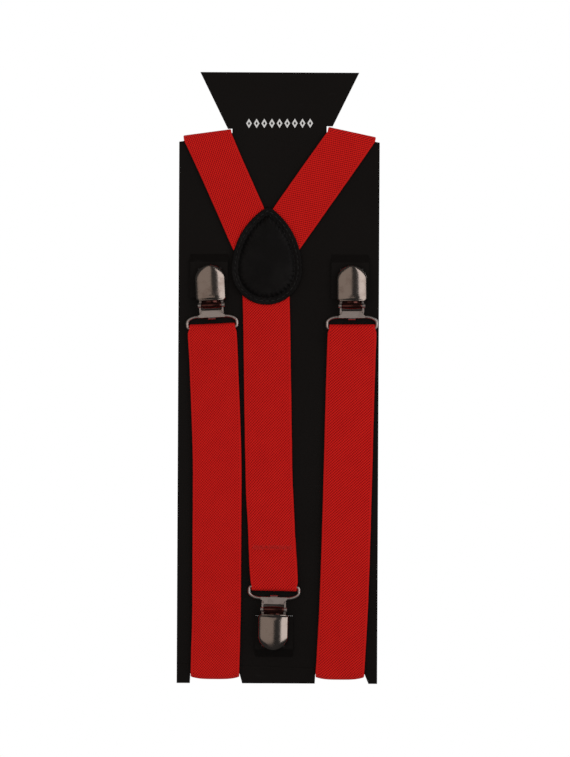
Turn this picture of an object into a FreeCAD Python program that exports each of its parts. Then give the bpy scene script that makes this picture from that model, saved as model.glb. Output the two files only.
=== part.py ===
import FreeCAD
import Part

import math
import os

# Clip-on suspenders folded on their display card, hung upright.
# Millimetres. +Z is up, the printed front of the card faces -Y, +X is to the right.
# The origin is the centre of the card's hang hole, half-way through the card.

Vector = FreeCAD.Vector
ALONG_X = Vector(1, 0, 0)
ALONG_Y = Vector(0, 1, 0)
ALONG_Z = Vector(0, 0, 1)

# ---- display card ----
CARD_T = 0.5
CARD_HALF_WIDTH = 51.0
CARD_TOP = 11.1
CARD_TOP_HALF = 40.4
NECK_HALF = 24.0
LEFT_NECK = (-26.25, -17.6)
RIGHT_NECK = (27.0, -16.1)
SHOULDER_INNER_Z = -19.8
SHOULDER_OUTER_Z = -24.5
CARD_BOTTOM = -300.3
NOTCH_Z = -295.45
LEFT_NOTCH = (-44.2, -19.0)
RIGHT_NOTCH = (19.5, 44.7)
LEFT_MOUTH = (-44.5, -17.6)
RIGHT_MOUTH = (19.2, 46.8)
HANG_HOLE_R = 3.8
FLAP_SLIT = 0.08
FLAP_HINGE_Z = 3.0
DIMPLE_AT = (-2.2, -23.0)
DIMPLE_R = 0.45
DIMPLE_DEPTH = 0.2

# ---- die-cut tabs that the clips bite ----
TAB_WIDTH = 18.8
TAB_SLIT = 0.15
TAB_FORWARD = 1.9
TAB_RISE = 4.2

# ---- webbing ----
STRAP_T = 1.2
STRAP_WIDTH = 24.8
LOOP_WIDTH = 23.2
DIAGONAL_WIDTH = 23.1
PATCH_LAYER_Y = 1.85
INNER_LAYER_Y = 1.0
OUTER_LAYER_Y = 2.35
ADJUSTER_LAYER_Y = 5.2
LOOP_MID_R = 1.45
TAIL_LOOP_R = 1.2
TAIL_START_Z = -285.0
BACK_STRAP_WIDTH = 24.0

# ---- bail, the wire loop between strap and clip ----
WIRE_R = 0.75
BAIL_HALF = 12.7
BAIL_NECK_HALF = 6.9
BAIL_SHOULDER = 3.1
BAIL_CORNER_R = 1.3
BAIL_HEIGHT = 5.8
BAIL_Y = -2.45

# ---- clip, in its own frame: bail wire on the origin, mouth towards +Z, cover towards -Y ----
PLATE_T = 0.9
HOOK_INNER = 0.85
HOOK_OUTER = HOOK_INNER + PLATE_T
COLLAR_HALF = 5.1
COLLAR_TAB_HALF = 1.9
COLLAR_SHOULDER_HALF = 6.7
COLLAR_TOP = 2.9
BASE_HALF = 6.3
BASE_TIP = 24.3
EAR_INNER = 5.35
EAR_OUTER = 6.15
EAR_R = 1.2
PIN_Y = -4.0
PIN_Z = 5.6
PIN_R = 0.75
PIN_CLEARANCE = 0.05
PIN_HEAD_R = 1.05
PIN_HALF = 6.75
JAW_PIVOT_Y = -0.9
JAW_PIVOT_Z = 3.9
JAW_FRONT_Y = -1.6
JAW_T = 0.6
JAW_HALF = 6.4
JAW_TIP = 25.6
TRUNNION_R = 0.45
ROLL_R = 1.75
ROLL_END_R = 1.3
ROLL_HALF = 5.2
CAM_R = 1.3
CAM_OFFSET = 0.9
COVER_HALF = 7.65
COVER_START = 7.9
COVER_TIP = 26.3
COVER_ARC = 7.0
COVER_CHAMFER = 1.5
COVER_PEAK_Y = -5.3
COVER_RIM_Y = -2.0
COVER_WALL = 0.7
COVER_SAG = 1.9
TIP_DROP = 1.7
TIP_BEND_START = 17.0

# ---- slide adjuster, in its own frame: sewn bar on the origin, outer face towards +Y ----
ADJ_BAR_R = 0.5
ADJ_SIDE_INNER = 12.7
ADJ_SIDE_OUTER = 13.7
ADJ_LOW = -1.4
ADJ_HIGH = 15.6
ADJ_PLATE_Y = (1.2, 2.1)
ADJ_PLATE_Z = (3.2, 14.6)
ADJ_SIDE_Y = (-0.6, 5.9)
ADJ_LEVER_AXIS = (4.9, 11.6)
ADJ_LEVER_T = 0.8
ADJ_LEVER_HALF = 12.4
ADJ_LEVER_FOOT = -1.8
ADJ_STUD_R = 0.6
ADJ_TOOTH_REACH = 1.15
ADJ_TEETH = 11
ADJ_Y = 2.2
ADJ_Z = -171.0

# ---- leather patch ----
PATCH_X = -6.3
PATCH_Z = -89.4
PATCH_R = 18.0
PATCH_SIDE_R = 38.0
PATCH_TIP_R = 3.0
PATCH_TIP_RISE = 28.7
PATCH_LEAN = 1.5
LEATHER_T = 0.85
PATCH_BACK_Y = (-1.15, -0.30)
PATCH_FRONT_Y = (-3.40, -2.55)
PADDING_PEAK_Y = -5.1
BORDER = 3.3
STITCH_INSET = 1.9
STITCH_LENGTH = 1.9
STITCH_PITCH = 2.9
STITCH_R = 0.25
STRAP_JOIN_X = -6.5
STRAP_JOIN_Z = -90.0

# Side data: fold over the shoulder, the run on the back, and the run on the front.
SIDES = {
    "left": {
        "fold": (-36.5, -21.95),
        "fold_tilt": 7.9,
        "fold_length": 24.6,
        "to_patch": (-12.7, -75.0),
        "diagonal": 23.4,
        "bottom_x": -31.6,
        "front": [(-30.9, -258.0), (-30.9, -197.0), (-33.0, -136.0)],
        "bail_x": -33.8,
        "bail_z": -119.2,
        "lean": 2.8,
        "tab_ends": (-104.0, -81.5),
        "tab_x": -35.6,
    },
    "right": {
        "fold": (36.6, -21.45),
        "fold_tilt": -12.0,
        "fold_length": 24.8,
        "to_patch": (-0.9, -75.4),
        "diagonal": -34.0,
        "bottom_x": 32.1,
        "front": [(34.0, -258.0), (35.6, -197.0), (37.0, -136.0)],
        "bail_x": 37.4,
        "bail_z": -119.2,
        "lean": 0.5,
        "tab_ends": (-104.0, -81.5),
        "tab_x": 36.4,
    },
}
BOTTOM = {
    "bail_x": -1.6,
    "bail_z": -251.1,
    "lean": 179.0,
    "tab_ends": (-266.0, -287.0),
    "tab_x": -1.5,
}


def export(name, shape):
    if not shape.isValid():
        raise ValueError(name + " is not valid")
    shape.exportStep(os.path.join("parts", name + ".step"))


def block(x, y, z):
    """A box between two limits on each axis."""
    corner = Vector(min(x), min(y), min(z))
    return Part.makeBox(abs(x[1] - x[0]), abs(y[1] - y[0]), abs(z[1] - z[0]), corner)


def rod(radius, x, y, z):
    """A round bar along X between the two x limits."""
    return Part.makeCylinder(radius, x[1] - x[0], Vector(x[0], y, z), ALONG_X)


def plate(points, y):
    """A flat plate: an outline in X and Z, between two y limits."""
    corners = [Vector(px, min(y), pz) for px, pz in points]
    face = Part.Face(Part.makePolygon(corners + [corners[0]]))
    return face.extrude(Vector(0, abs(y[1] - y[0]), 0))


def join(pieces):
    whole = pieces[0]
    for piece in pieces[1:]:
        whole = whole.fuse(piece)
    return whole.removeSplitter()


# ---- webbing ----


def section(x, y, z, width, tilt=0.0):
    """One rectangular cross-section of webbing: its width lies in the XZ plane at the tilt."""
    across = Vector(math.cos(math.radians(tilt)), 0, math.sin(math.radians(tilt))) * (width / 2)
    through = Vector(0, STRAP_T / 2, 0)
    middle = Vector(x, y, z)
    return [
        middle - across - through,
        middle + across - through,
        middle + across + through,
        middle - across + through,
    ]


def outline_of(corners):
    return Part.makePolygon(corners + [corners[0]])


def run(stations):
    """Flat webbing from each section to the next."""
    wires = [outline_of(section(*s)) for s in stations]
    return [Part.makeLoft([a, b], True, True) for a, b in zip(wires, wires[1:])]


def roll(station, axis_y, turn, tilt=0.0):
    """Webbing that turns half-way round an edge or bar lying level with the station."""
    face = Part.Face(outline_of(section(*station)))
    axis = Vector(math.cos(math.radians(tilt)), 0, math.sin(math.radians(tilt)))
    return face.revolve(Vector(station[0], axis_y, station[2]), axis, turn)


def back_x(side, z):
    """Centre of the strap on the card's back at a height."""
    top_x, top_z = side["fold"]
    share = (z - top_z) / (NOTCH_Z - top_z)
    return top_x + share * (side["bottom_x"] - top_x)


def front_strap(side):
    """The strap from the patch over the shoulder, down the back, up the front and through the bail."""
    fold_x, fold_z = side["fold"]
    tilt = side["fold_tilt"]
    patch_x, patch_z = side["to_patch"]
    fold_out = (fold_x, -PATCH_LAYER_Y, fold_z, side["fold_length"], tilt)
    fold_back = (fold_x, PATCH_LAYER_Y, fold_z, side["fold_length"], tilt)
    neck = (
        fold_x + 0.22 * (patch_x - fold_x),
        -PATCH_LAYER_Y,
        fold_z + 0.22 * (patch_z - fold_z),
        DIAGONAL_WIDTH,
        side["diagonal"],
    )
    end = (patch_x, -PATCH_LAYER_Y, patch_z, DIAGONAL_WIDTH, side["diagonal"])
    diagonal = join(run([end, neck, fold_out]))
    diagonal = diagonal.cut(patch_side_of_join(side))
    back = run(
        [
            fold_back,
            (back_x(side, -60.0), PATCH_LAYER_Y, -60.0, STRAP_WIDTH),
            (back_x(side, -102.0), ADJUSTER_LAYER_Y, -102.0, STRAP_WIDTH),
            (back_x(side, -228.0), ADJUSTER_LAYER_Y, -228.0, STRAP_WIDTH),
            (back_x(side, -252.0), OUTER_LAYER_Y, -252.0, STRAP_WIDTH),
            (side["bottom_x"], OUTER_LAYER_Y, NOTCH_Z, STRAP_WIDTH),
        ]
    )
    loop_z = side["bail_z"]
    lean = side["lean"]
    outer = (
        [(side["bottom_x"], -OUTER_LAYER_Y, NOTCH_Z, STRAP_WIDTH)]
        + [(x, -OUTER_LAYER_Y, z, STRAP_WIDTH) for x, z in side["front"]]
        + [
            (side["bail_x"], BAIL_Y - LOOP_MID_R, loop_z - 2.2, STRAP_WIDTH, lean),
            (side["bail_x"], BAIL_Y - LOOP_MID_R, loop_z, LOOP_WIDTH, lean),
        ]
    )
    inner = (
        [
            (side["bail_x"], BAIL_Y + LOOP_MID_R, loop_z, LOOP_WIDTH, lean),
            (side["bail_x"], -INNER_LAYER_Y, loop_z - 2.2, STRAP_WIDTH, lean),
        ]
        + [(x, -INNER_LAYER_Y, z, STRAP_WIDTH) for x, z in reversed(side["front"])]
        + [(side["bottom_x"], -INNER_LAYER_Y, NOTCH_Z, STRAP_WIDTH)]
    )
    rise = (side["bottom_x"], INNER_LAYER_Y, NOTCH_Z, STRAP_WIDTH)
    tail_start = (back_x(side, TAIL_START_Z), INNER_LAYER_Y, TAIL_START_Z, STRAP_WIDTH)
    pieces = [diagonal, roll(fold_back, 0, 180, tilt)]
    pieces += back
    pieces += [roll((side["bottom_x"], OUTER_LAYER_Y, NOTCH_Z, STRAP_WIDTH), 0, -180)]
    pieces += run(outer)
    pieces += [roll(outer[-1], BAIL_Y, -180, lean)]
    pieces += run(inner)
    pieces += [roll(rise, 0, -180)]
    pieces += run([rise, tail_start])
    return join(pieces)


def patch_side_of_join(side):
    """The space on the far side of the line where the strap ends are trimmed."""
    left = side["fold"][0] < 0
    x = (STRAP_JOIN_X - 0.05, 60.0) if left else (-60.0, STRAP_JOIN_X + 0.05)
    beyond = block(x, (-5, 0), (-130, -40))
    below = block((-60, 60), (-5, 0), (-130, STRAP_JOIN_Z))
    return beyond.fuse(below)


def back_lean(side):
    """How far the strap on the back leans from upright, in degrees."""
    return math.degrees(math.atan2(back_x(side, -20.0) - back_x(side, -120.0), 100.0))


def strap_tail(side):
    """The strap's end: up the back, round the adjuster's bar and sewn down on itself."""
    bar_x = back_x(side, ADJ_Z)
    tilt = -back_lean(side)
    width = STRAP_WIDTH - 0.6
    up = (bar_x, ADJ_Y - TAIL_LOOP_R, ADJ_Z, width, tilt)
    over = (bar_x, ADJ_Y + TAIL_LOOP_R, ADJ_Z, width, tilt)
    pieces = run([(back_x(side, TAIL_START_Z), INNER_LAYER_Y, TAIL_START_Z, STRAP_WIDTH), up])
    pieces += [roll(over, ADJ_Y, 180, tilt)]
    pieces += run(
        [
            over,
            (back_x(side, ADJ_Z - 7), OUTER_LAYER_Y, ADJ_Z - 7, width, tilt),
            (back_x(side, ADJ_Z - 20), OUTER_LAYER_Y, ADJ_Z - 20, width, tilt),
        ]
    )
    return join(pieces)


def back_strap():
    """The short centre strap from the patch to the lower clip, folded round its bail and sewn."""
    loop_x = BOTTOM["bail_x"]
    loop_z = BOTTOM["bail_z"]
    lean = BOTTOM["lean"] - 180
    loop_width = LOOP_WIDTH - 0.2
    front = run(
        [
            (-6.9, -PATCH_LAYER_Y, STRAP_JOIN_Z - 0.3, BACK_STRAP_WIDTH),
            (-6.0, -PATCH_LAYER_Y, -122.0, BACK_STRAP_WIDTH),
            (-4.4, -PATCH_LAYER_Y, -197.0, BACK_STRAP_WIDTH),
            (-3.2, -OUTER_LAYER_Y, -220.0, BACK_STRAP_WIDTH),
            (-2.6, -OUTER_LAYER_Y, -234.0, BACK_STRAP_WIDTH),
            (loop_x, BAIL_Y - LOOP_MID_R, loop_z + 2.2, BACK_STRAP_WIDTH, lean),
            (loop_x, BAIL_Y - LOOP_MID_R, loop_z, loop_width, lean),
        ]
    )
    end = run(
        [
            (loop_x, BAIL_Y + LOOP_MID_R, loop_z, loop_width, lean),
            (loop_x, -INNER_LAYER_Y, loop_z + 2.2, BACK_STRAP_WIDTH, lean),
            (-2.8, -INNER_LAYER_Y, -226.0, BACK_STRAP_WIDTH),
        ]
    )
    turn = roll((loop_x, BAIL_Y - LOOP_MID_R, loop_z, loop_width, lean), BAIL_Y, 180, lean)
    return join(front + [turn] + end)


def tack(x, y, z, width, outward):
    """A sewn bar across a strap: a row of slanting thread bars."""
    count = 9
    pitch = width / count
    bars = []
    for i in range(count):
        bar = Part.makeCylinder(0.2, 2.8, Vector(0, 0, -1.4), ALONG_Z)
        bar.rotate(Vector(0, 0, 0), ALONG_Y, 24 if i % 2 else -24)
        bar.translate(Vector(x + (i - (count - 1) / 2) * pitch, y + outward * 0.22, z))
        bars.append(bar)
    return Part.makeCompound(bars)


# ---- card ----


def card():
    """The black card: header, sloping shoulders, and notches at the foot for the straps."""
    right = [
        (CARD_TOP_HALF, CARD_TOP),
        RIGHT_NECK,
        (NECK_HALF, RIGHT_NECK[1]),
        (NECK_HALF, SHOULDER_INNER_Z),
        (CARD_HALF_WIDTH, SHOULDER_OUTER_Z),
        (CARD_HALF_WIDTH, CARD_BOTTOM),
        (RIGHT_MOUTH[1], CARD_BOTTOM),
        (RIGHT_NOTCH[1], NOTCH_Z),
        (RIGHT_NOTCH[0], NOTCH_Z),
        (RIGHT_MOUTH[0], CARD_BOTTOM),
    ]
    left = [
        (LEFT_MOUTH[1], CARD_BOTTOM),
        (LEFT_NOTCH[1], NOTCH_Z),
        (LEFT_NOTCH[0], NOTCH_Z),
        (LEFT_MOUTH[0], CARD_BOTTOM),
        (-CARD_HALF_WIDTH, CARD_BOTTOM),
        (-CARD_HALF_WIDTH, SHOULDER_OUTER_Z),
        (-NECK_HALF, SHOULDER_INNER_Z),
        (-NECK_HALF, LEFT_NECK[1]),
        LEFT_NECK,
        (-CARD_TOP_HALF, CARD_TOP),
    ]
    half = CARD_T / 2
    sheet = plate(right + left, (-half, half))
    hole = hole_disc(HANG_HOLE_R)
    sheet = sheet.cut(hole)
    front = Vector(DIMPLE_AT[0], -half - 1, DIMPLE_AT[1])
    dimple = Part.makeCylinder(DIMPLE_R, 1 + DIMPLE_DEPTH, front, ALONG_Y)
    sheet = sheet.cut(dimple)
    for clip in [SIDES["left"], SIDES["right"], BOTTOM]:
        sheet = sheet.cut(tab_window(clip))
    return sheet


def hole_disc(radius):
    """The round of the hang hole, cut straight along the flap's hinge."""
    disc = Part.makeCylinder(radius, CARD_T, Vector(0, -CARD_T / 2, 0), ALONG_Y)
    return disc.cut(block((-9, 9), (-1, 1), (FLAP_HINGE_Z, 9)))


def hang_flap():
    """The punched round that still fills the hang hole until a hook pushes it back."""
    disc = Part.makeCylinder(HANG_HOLE_R - FLAP_SLIT, CARD_T, Vector(0, -CARD_T / 2, 0), ALONG_Y)
    return disc.cut(block((-9, 9), (-1, 1), (FLAP_HINGE_Z - 0.02, 9)))


def tab_window(clip):
    free, hinge = clip["tab_ends"]
    reach = TAB_SLIT if free < hinge else -TAB_SLIT
    half = TAB_WIDTH / 2 + TAB_SLIT
    x = (clip["tab_x"] - half, clip["tab_x"] + half)
    return block(x, (-1, 1), (free - reach, hinge))


def tab(clip):
    """A tongue of card, hinged at one end and bent forward into the clip's mouth."""
    free, hinge = clip["tab_ends"]
    step = -TAB_RISE if free < hinge else TAB_RISE
    half = CARD_T / 2
    profile = [
        (half, hinge),
        (-half, hinge),
        (-half - TAB_FORWARD, hinge + step),
        (-half - TAB_FORWARD, free),
        (half - TAB_FORWARD, free),
        (half - TAB_FORWARD, hinge + step),
    ]
    x = clip["tab_x"] - TAB_WIDTH / 2
    corners = [Vector(x, y, z) for y, z in profile]
    face = Part.Face(Part.makePolygon(corners + [corners[0]]))
    return face.extrude(Vector(TAB_WIDTH, 0, 0))


# ---- clip ----


def placed(shape, clip, drop=BAIL_HEIGHT):
    """Move a piece from the clip's own frame to its strap, leaning about the bail's lower bar."""
    moved = shape.copy()
    moved.translate(Vector(0, 0, drop))
    moved.rotate(Vector(0, 0, 0), ALONG_Y, -clip["lean"])
    moved.translate(Vector(clip["bail_x"], BAIL_Y, clip["bail_z"]))
    return moved


def bail():
    """A closed wire: a long bar in the strap, swept shoulders and a short bar in the clip."""
    foot = -BAIL_HEIGHT
    bend = BAIL_CORNER_R
    slant = math.sqrt(0.5)

    def point(x, z):
        return Vector(x, 0, z)

    def shoulder(side):
        """A quarter oval, from the short bar round to one side of the wire."""
        centre = point(side * BAIL_NECK_HALF, -BAIL_SHOULDER)
        widest = point(side * BAIL_HALF, -BAIL_SHOULDER)
        oval = Part.Ellipse(widest, point(side * BAIL_NECK_HALF, 0), centre)
        return Part.ArcOfEllipse(oval, 0, math.pi / 2).toShape()

    def corner(side):
        """The tight bend at one end of the bar in the strap."""
        turn = bend * (1 - slant)
        return Part.Arc(
            point(side * BAIL_HALF, foot + bend),
            point(side * (BAIL_HALF - turn), foot + turn),
            point(side * (BAIL_HALF - bend), foot),
        ).toShape()

    edges = [Part.makeLine(point(-BAIL_NECK_HALF, 0), point(BAIL_NECK_HALF, 0))]
    edges.append(Part.makeLine(point(BAIL_HALF - bend, foot), point(bend - BAIL_HALF, foot)))
    for side in (-1, 1):
        upper = point(side * BAIL_HALF, -BAIL_SHOULDER)
        edges.append(shoulder(side))
        edges.append(Part.makeLine(upper, point(side * BAIL_HALF, foot + bend)))
        edges.append(corner(side))
    path = Part.Wire(Part.__sortEdges__(edges))
    start = path.OrderedVertexes[0].Point
    along = path.OrderedEdges[0].tangentAt(path.OrderedEdges[0].FirstParameter)
    profile = Part.Wire([Part.makeCircle(WIRE_R, start, along)])
    return path.makePipeShell([profile], True, False)


def clip_base():
    """Back plate with a toothed tip, two ears for the pin, and a collar hooked round the wire."""
    back_y = (HOOK_INNER, HOOK_OUTER)
    front_y = (-HOOK_OUTER, -HOOK_INNER)
    shoulder = 8.4
    tip_flat = BASE_TIP - 3.0
    outline = [
        (-COLLAR_HALF, 0.0),
        (COLLAR_HALF, 0.0),
        (EAR_OUTER, 1.6),
        (EAR_OUTER, shoulder),
        (BASE_HALF, shoulder + 1.5),
        (BASE_HALF, tip_flat),
        (BASE_HALF - 2.4, BASE_TIP),
        (2.4 - BASE_HALF, BASE_TIP),
        (-BASE_HALF, tip_flat),
        (-BASE_HALF, shoulder + 1.5),
        (-EAR_OUTER, shoulder),
        (-EAR_OUTER, 1.6),
    ]
    pieces = [plate(outline, back_y)]
    collar = [
        (-COLLAR_SHOULDER_HALF, -0.5),
        (COLLAR_SHOULDER_HALF, -0.5),
        (COLLAR_SHOULDER_HALF, 0.7),
        (COLLAR_HALF, 1.5),
        (COLLAR_HALF, COLLAR_TOP),
        (-COLLAR_HALF, COLLAR_TOP),
        (-COLLAR_HALF, 1.5),
        (-COLLAR_SHOULDER_HALF, 0.7),
    ]
    pieces.append(plate(collar, front_y))
    hook = rod(HOOK_OUTER, (-COLLAR_TAB_HALF, COLLAR_TAB_HALF), 0, 0)
    hook = hook.cut(rod(HOOK_INNER, (-3, 3), 0, 0)).cut(block((-3, 3), (-3, 3), (0, 3)))
    pieces.append(hook)
    for sign in (-1, 1):
        x = tuple(sorted((sign * EAR_INNER, sign * EAR_OUTER)))
        pieces.append(block(x, (PIN_Y, HOOK_OUTER), (PIN_Z - 3.4, PIN_Z + EAR_R)))
        pieces.append(rod(EAR_R, x, PIN_Y, PIN_Z))
    body = join(pieces)
    body = body.cut(block((-BASE_HALF, BASE_HALF), (PIN_Y - 2, -HOOK_OUTER), (-1, PIN_Z - 3.4)))
    body = body.cut(rod(PIN_R + 0.02, (-9, 9), PIN_Y, PIN_Z))
    return body.cut(rod(TRUNNION_R + PIN_CLEARANCE, (-9, 9), JAW_PIVOT_Y, JAW_PIVOT_Z))


def clip_pin():
    """The hinge pin, peened over at both ends."""
    pieces = [rod(PIN_R, (-PIN_HALF, PIN_HALF), PIN_Y, PIN_Z)]
    for sign in (-1, 1):
        x = tuple(sorted((sign * (EAR_OUTER + 0.03), sign * PIN_HALF)))
        pieces.append(rod(PIN_HEAD_R, x, PIN_Y, PIN_Z))
    return join(pieces)


def clip_jaw():
    """The sprung front jaw: a plate between the ears that widens to the mouth."""
    waist = 5.0
    widen = 9.4
    outline = [
        (-waist, JAW_PIVOT_Z),
        (waist, JAW_PIVOT_Z),
        (waist, widen - 1.0),
        (JAW_HALF, widen + 0.6),
        (JAW_HALF, JAW_TIP - 4.0),
        (JAW_HALF - 3.6, JAW_TIP),
        (3.6 - JAW_HALF, JAW_TIP),
        (-JAW_HALF, JAW_TIP - 4.0),
        (-JAW_HALF, widen + 0.6),
        (-waist, widen - 1.0),
    ]
    pieces = [plate(outline, (JAW_FRONT_Y, JAW_FRONT_Y + JAW_T))]
    knuckle_r = JAW_PIVOT_Y - JAW_FRONT_Y
    pieces.append(rod(knuckle_r, (-waist, waist), JAW_PIVOT_Y, JAW_PIVOT_Z))
    pieces.append(rod(TRUNNION_R, (-EAR_OUTER, EAR_OUTER), JAW_PIVOT_Y, JAW_PIVOT_Z))
    return join(pieces)


def clip_pad():
    """The plastic gripping pad under the front jaw, with cross ribs that bite."""
    low = 13.0
    high = 24.6
    half = 5.9
    body_y = (JAW_FRONT_Y + JAW_T, -0.15)
    pieces = [block((-half, half), body_y, (low, high))]
    ribs = 6
    pitch = (high - low) / ribs
    for i in range(ribs):
        middle = low + (i + 0.5) * pitch
        profile = [(-0.2, middle - 0.75), (0.25, middle), (-0.2, middle + 0.75)]
        corners = [Vector(-half, y, z) for y, z in profile]
        face = Part.Face(Part.makePolygon(corners + [corners[0]]))
        pieces.append(face.extrude(Vector(2 * half, 0, 0)))
    return join(pieces)


def cover_outline(inset, start):
    """The cover seen from the front: straight sides, chamfered foot and half-oval tip."""
    half = COVER_HALF - inset
    foot = start
    tip = COVER_TIP - inset
    arc_start = COVER_TIP - COVER_ARC
    chamfer = COVER_CHAMFER - inset / 2
    oval = Part.Ellipse(Vector(half, 0, arc_start), Vector(0, 0, tip), Vector(0, 0, arc_start))
    corners = [
        Vector(-half, 0, arc_start),
        Vector(-half, 0, foot + chamfer),
        Vector(-half + chamfer, 0, foot),
        Vector(half - chamfer, 0, foot),
        Vector(half, 0, foot + chamfer),
        Vector(half, 0, arc_start),
    ]
    halves = [(0, math.pi), (math.pi, 2 * math.pi)]
    arcs = [Part.ArcOfEllipse(oval, first, last).toShape() for first, last in halves]
    over_tip = max(arcs, key=lambda arc: arc.BoundBox.ZMax)
    edges = [Part.makeLine(p, q) for p, q in zip(corners, corners[1:])]
    return Part.Face(Part.Wire(edges + [over_tip]))


def dome(inset):
    """Everything under a surface that curves across the cover and down at its tip."""
    sag_r = (COVER_HALF ** 2 + COVER_SAG ** 2) / (2 * COVER_SAG)
    axis_y = COVER_PEAK_Y + sag_r
    radius = sag_r - inset
    run_out = COVER_TIP + 3 - TIP_BEND_START
    peak = axis_y - radius
    start = Vector(0, peak, 0)
    bend = Vector(0, peak, TIP_BEND_START)
    middle = Vector(0, peak + TIP_DROP * 0.25, TIP_BEND_START + run_out / 2)
    far = Vector(0, peak + TIP_DROP, COVER_TIP + 3)
    edges = [
        Part.makeLine(start, bend),
        Part.Arc(bend, middle, far).toShape(),
        Part.makeLine(far, Vector(0, axis_y, COVER_TIP + 3)),
        Part.makeLine(Vector(0, axis_y, COVER_TIP + 3), Vector(0, axis_y, 0)),
        Part.makeLine(Vector(0, axis_y, 0), start),
    ]
    face = Part.Face(Part.Wire(edges))
    return face.revolve(Vector(0, axis_y, 0), ALONG_Z, 360)


def roll_barrel():
    """The lever's rolled foot: a round bar, fatter in the middle than at its ends."""
    left_rim = Vector(-ROLL_HALF, PIN_Y - ROLL_END_R, PIN_Z)
    right_rim = Vector(ROLL_HALF, PIN_Y - ROLL_END_R, PIN_Z)
    left_end = Vector(-ROLL_HALF, PIN_Y, PIN_Z)
    right_end = Vector(ROLL_HALF, PIN_Y, PIN_Z)
    edges = [Part.Arc(left_rim, Vector(0, PIN_Y - ROLL_R, PIN_Z), right_rim).toShape()]
    edges.append(Part.makeLine(right_rim, right_end))
    edges.append(Part.makeLine(right_end, left_end))
    edges.append(Part.makeLine(left_end, left_rim))
    return Part.Face(Part.Wire(edges)).revolve(left_end, ALONG_X, 360)


def clip_lever():
    """The domed cover that is also the lever, with a rolled foot and cam round the pin."""
    reach = Vector(0, COVER_RIM_Y - COVER_PEAK_Y + 1, 0)
    outer = cover_outline(0, COVER_START)
    outer.translate(Vector(0, COVER_PEAK_Y - 1, 0))
    inner = cover_outline(COVER_WALL, COVER_START + COVER_WALL)
    inner.translate(Vector(0, COVER_PEAK_Y - 1, 0))
    cap = outer.extrude(reach).common(dome(0))
    hollow = inner.extrude(reach + Vector(0, 1, 0)).common(dome(COVER_WALL))
    neck = block((-ROLL_HALF, ROLL_HALF), (PIN_Y - 1.1, PIN_Y + 0.9), (PIN_Z, COVER_START + 0.4))
    barrel = roll_barrel()
    cam = rod(CAM_R, (-ROLL_HALF, ROLL_HALF), PIN_Y + CAM_OFFSET, PIN_Z)
    body = join([cap.cut(hollow), neck, barrel, cam])
    return body.cut(rod(PIN_R + PIN_CLEARANCE, (-9, 9), PIN_Y, PIN_Z))


# ---- adjuster ----


def hung(shape, side):
    """Move a piece from the adjuster's own frame onto the strap, along the strap's slope."""
    moved = shape.copy()
    moved.rotate(Vector(0, 0, 0), ALONG_Y, back_lean(side))
    moved.translate(Vector(back_x(side, ADJ_Z), ADJ_Y, ADJ_Z))
    return moved


def adjuster_frame():
    """Two side cheeks, a bridge behind the strap and a round bar for the sewn end."""
    axis_y, axis_z = ADJ_LEVER_AXIS
    pieces = [rod(ADJ_BAR_R, (-ADJ_SIDE_INNER, ADJ_SIDE_INNER), 0, 0)]
    pieces.append(block((-ADJ_SIDE_INNER, ADJ_SIDE_INNER), ADJ_PLATE_Y, ADJ_PLATE_Z))
    for sign in (-1, 1):
        x = sorted((sign * ADJ_SIDE_INNER, sign * ADJ_SIDE_OUTER))
        cheek = block(x, ADJ_SIDE_Y, (ADJ_LOW, ADJ_HIGH))
        pieces.append(cheek.makeFillet(0.9, [e for e in cheek.Edges if is_across(e)]))
    body = join(pieces)
    return body.cut(rod(ADJ_STUD_R + PIN_CLEARANCE, (-20, 20), axis_y, axis_z))


def is_across(edge):
    """True for a straight edge along X."""
    span = edge.Vertexes[0].Point - edge.Vertexes[-1].Point
    return abs(span.x) > 0.5 and abs(span.y) + abs(span.z) < 1e-6


def adjuster_lever():
    """The cover plate with studs at its ends and a row of teeth that bite the strap."""
    axis_y, axis_z = ADJ_LEVER_AXIS
    x = (-ADJ_LEVER_HALF, ADJ_LEVER_HALF)
    face = block(x, (axis_y - 0.3, axis_y - 0.3 + ADJ_LEVER_T), (ADJ_LEVER_FOOT, axis_z + 0.95))
    corners = [e for e in face.Edges if abs(e.Vertexes[0].Y - e.Vertexes[-1].Y) > 0.5]
    face = face.makeFillet(1.4, corners)
    lip = rod(0.65, (-9.0, 9.0), axis_y + 0.25, ADJ_LEVER_FOOT)
    studs = rod(ADJ_STUD_R, (-ADJ_SIDE_OUTER, ADJ_SIDE_OUTER), axis_y, axis_z)
    pieces = [face, lip, studs]
    pitch = 2 * ADJ_LEVER_HALF / ADJ_TEETH
    for i in range(ADJ_TEETH):
        middle = (i - (ADJ_TEETH - 1) / 2) * pitch
        tooth = Part.makeCone(0.8, 0.25, ADJ_TOOTH_REACH, Vector(middle, axis_y, axis_z), -ALONG_Y)
        pieces.append(tooth)
    return join(pieces)


# ---- patch ----


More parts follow.
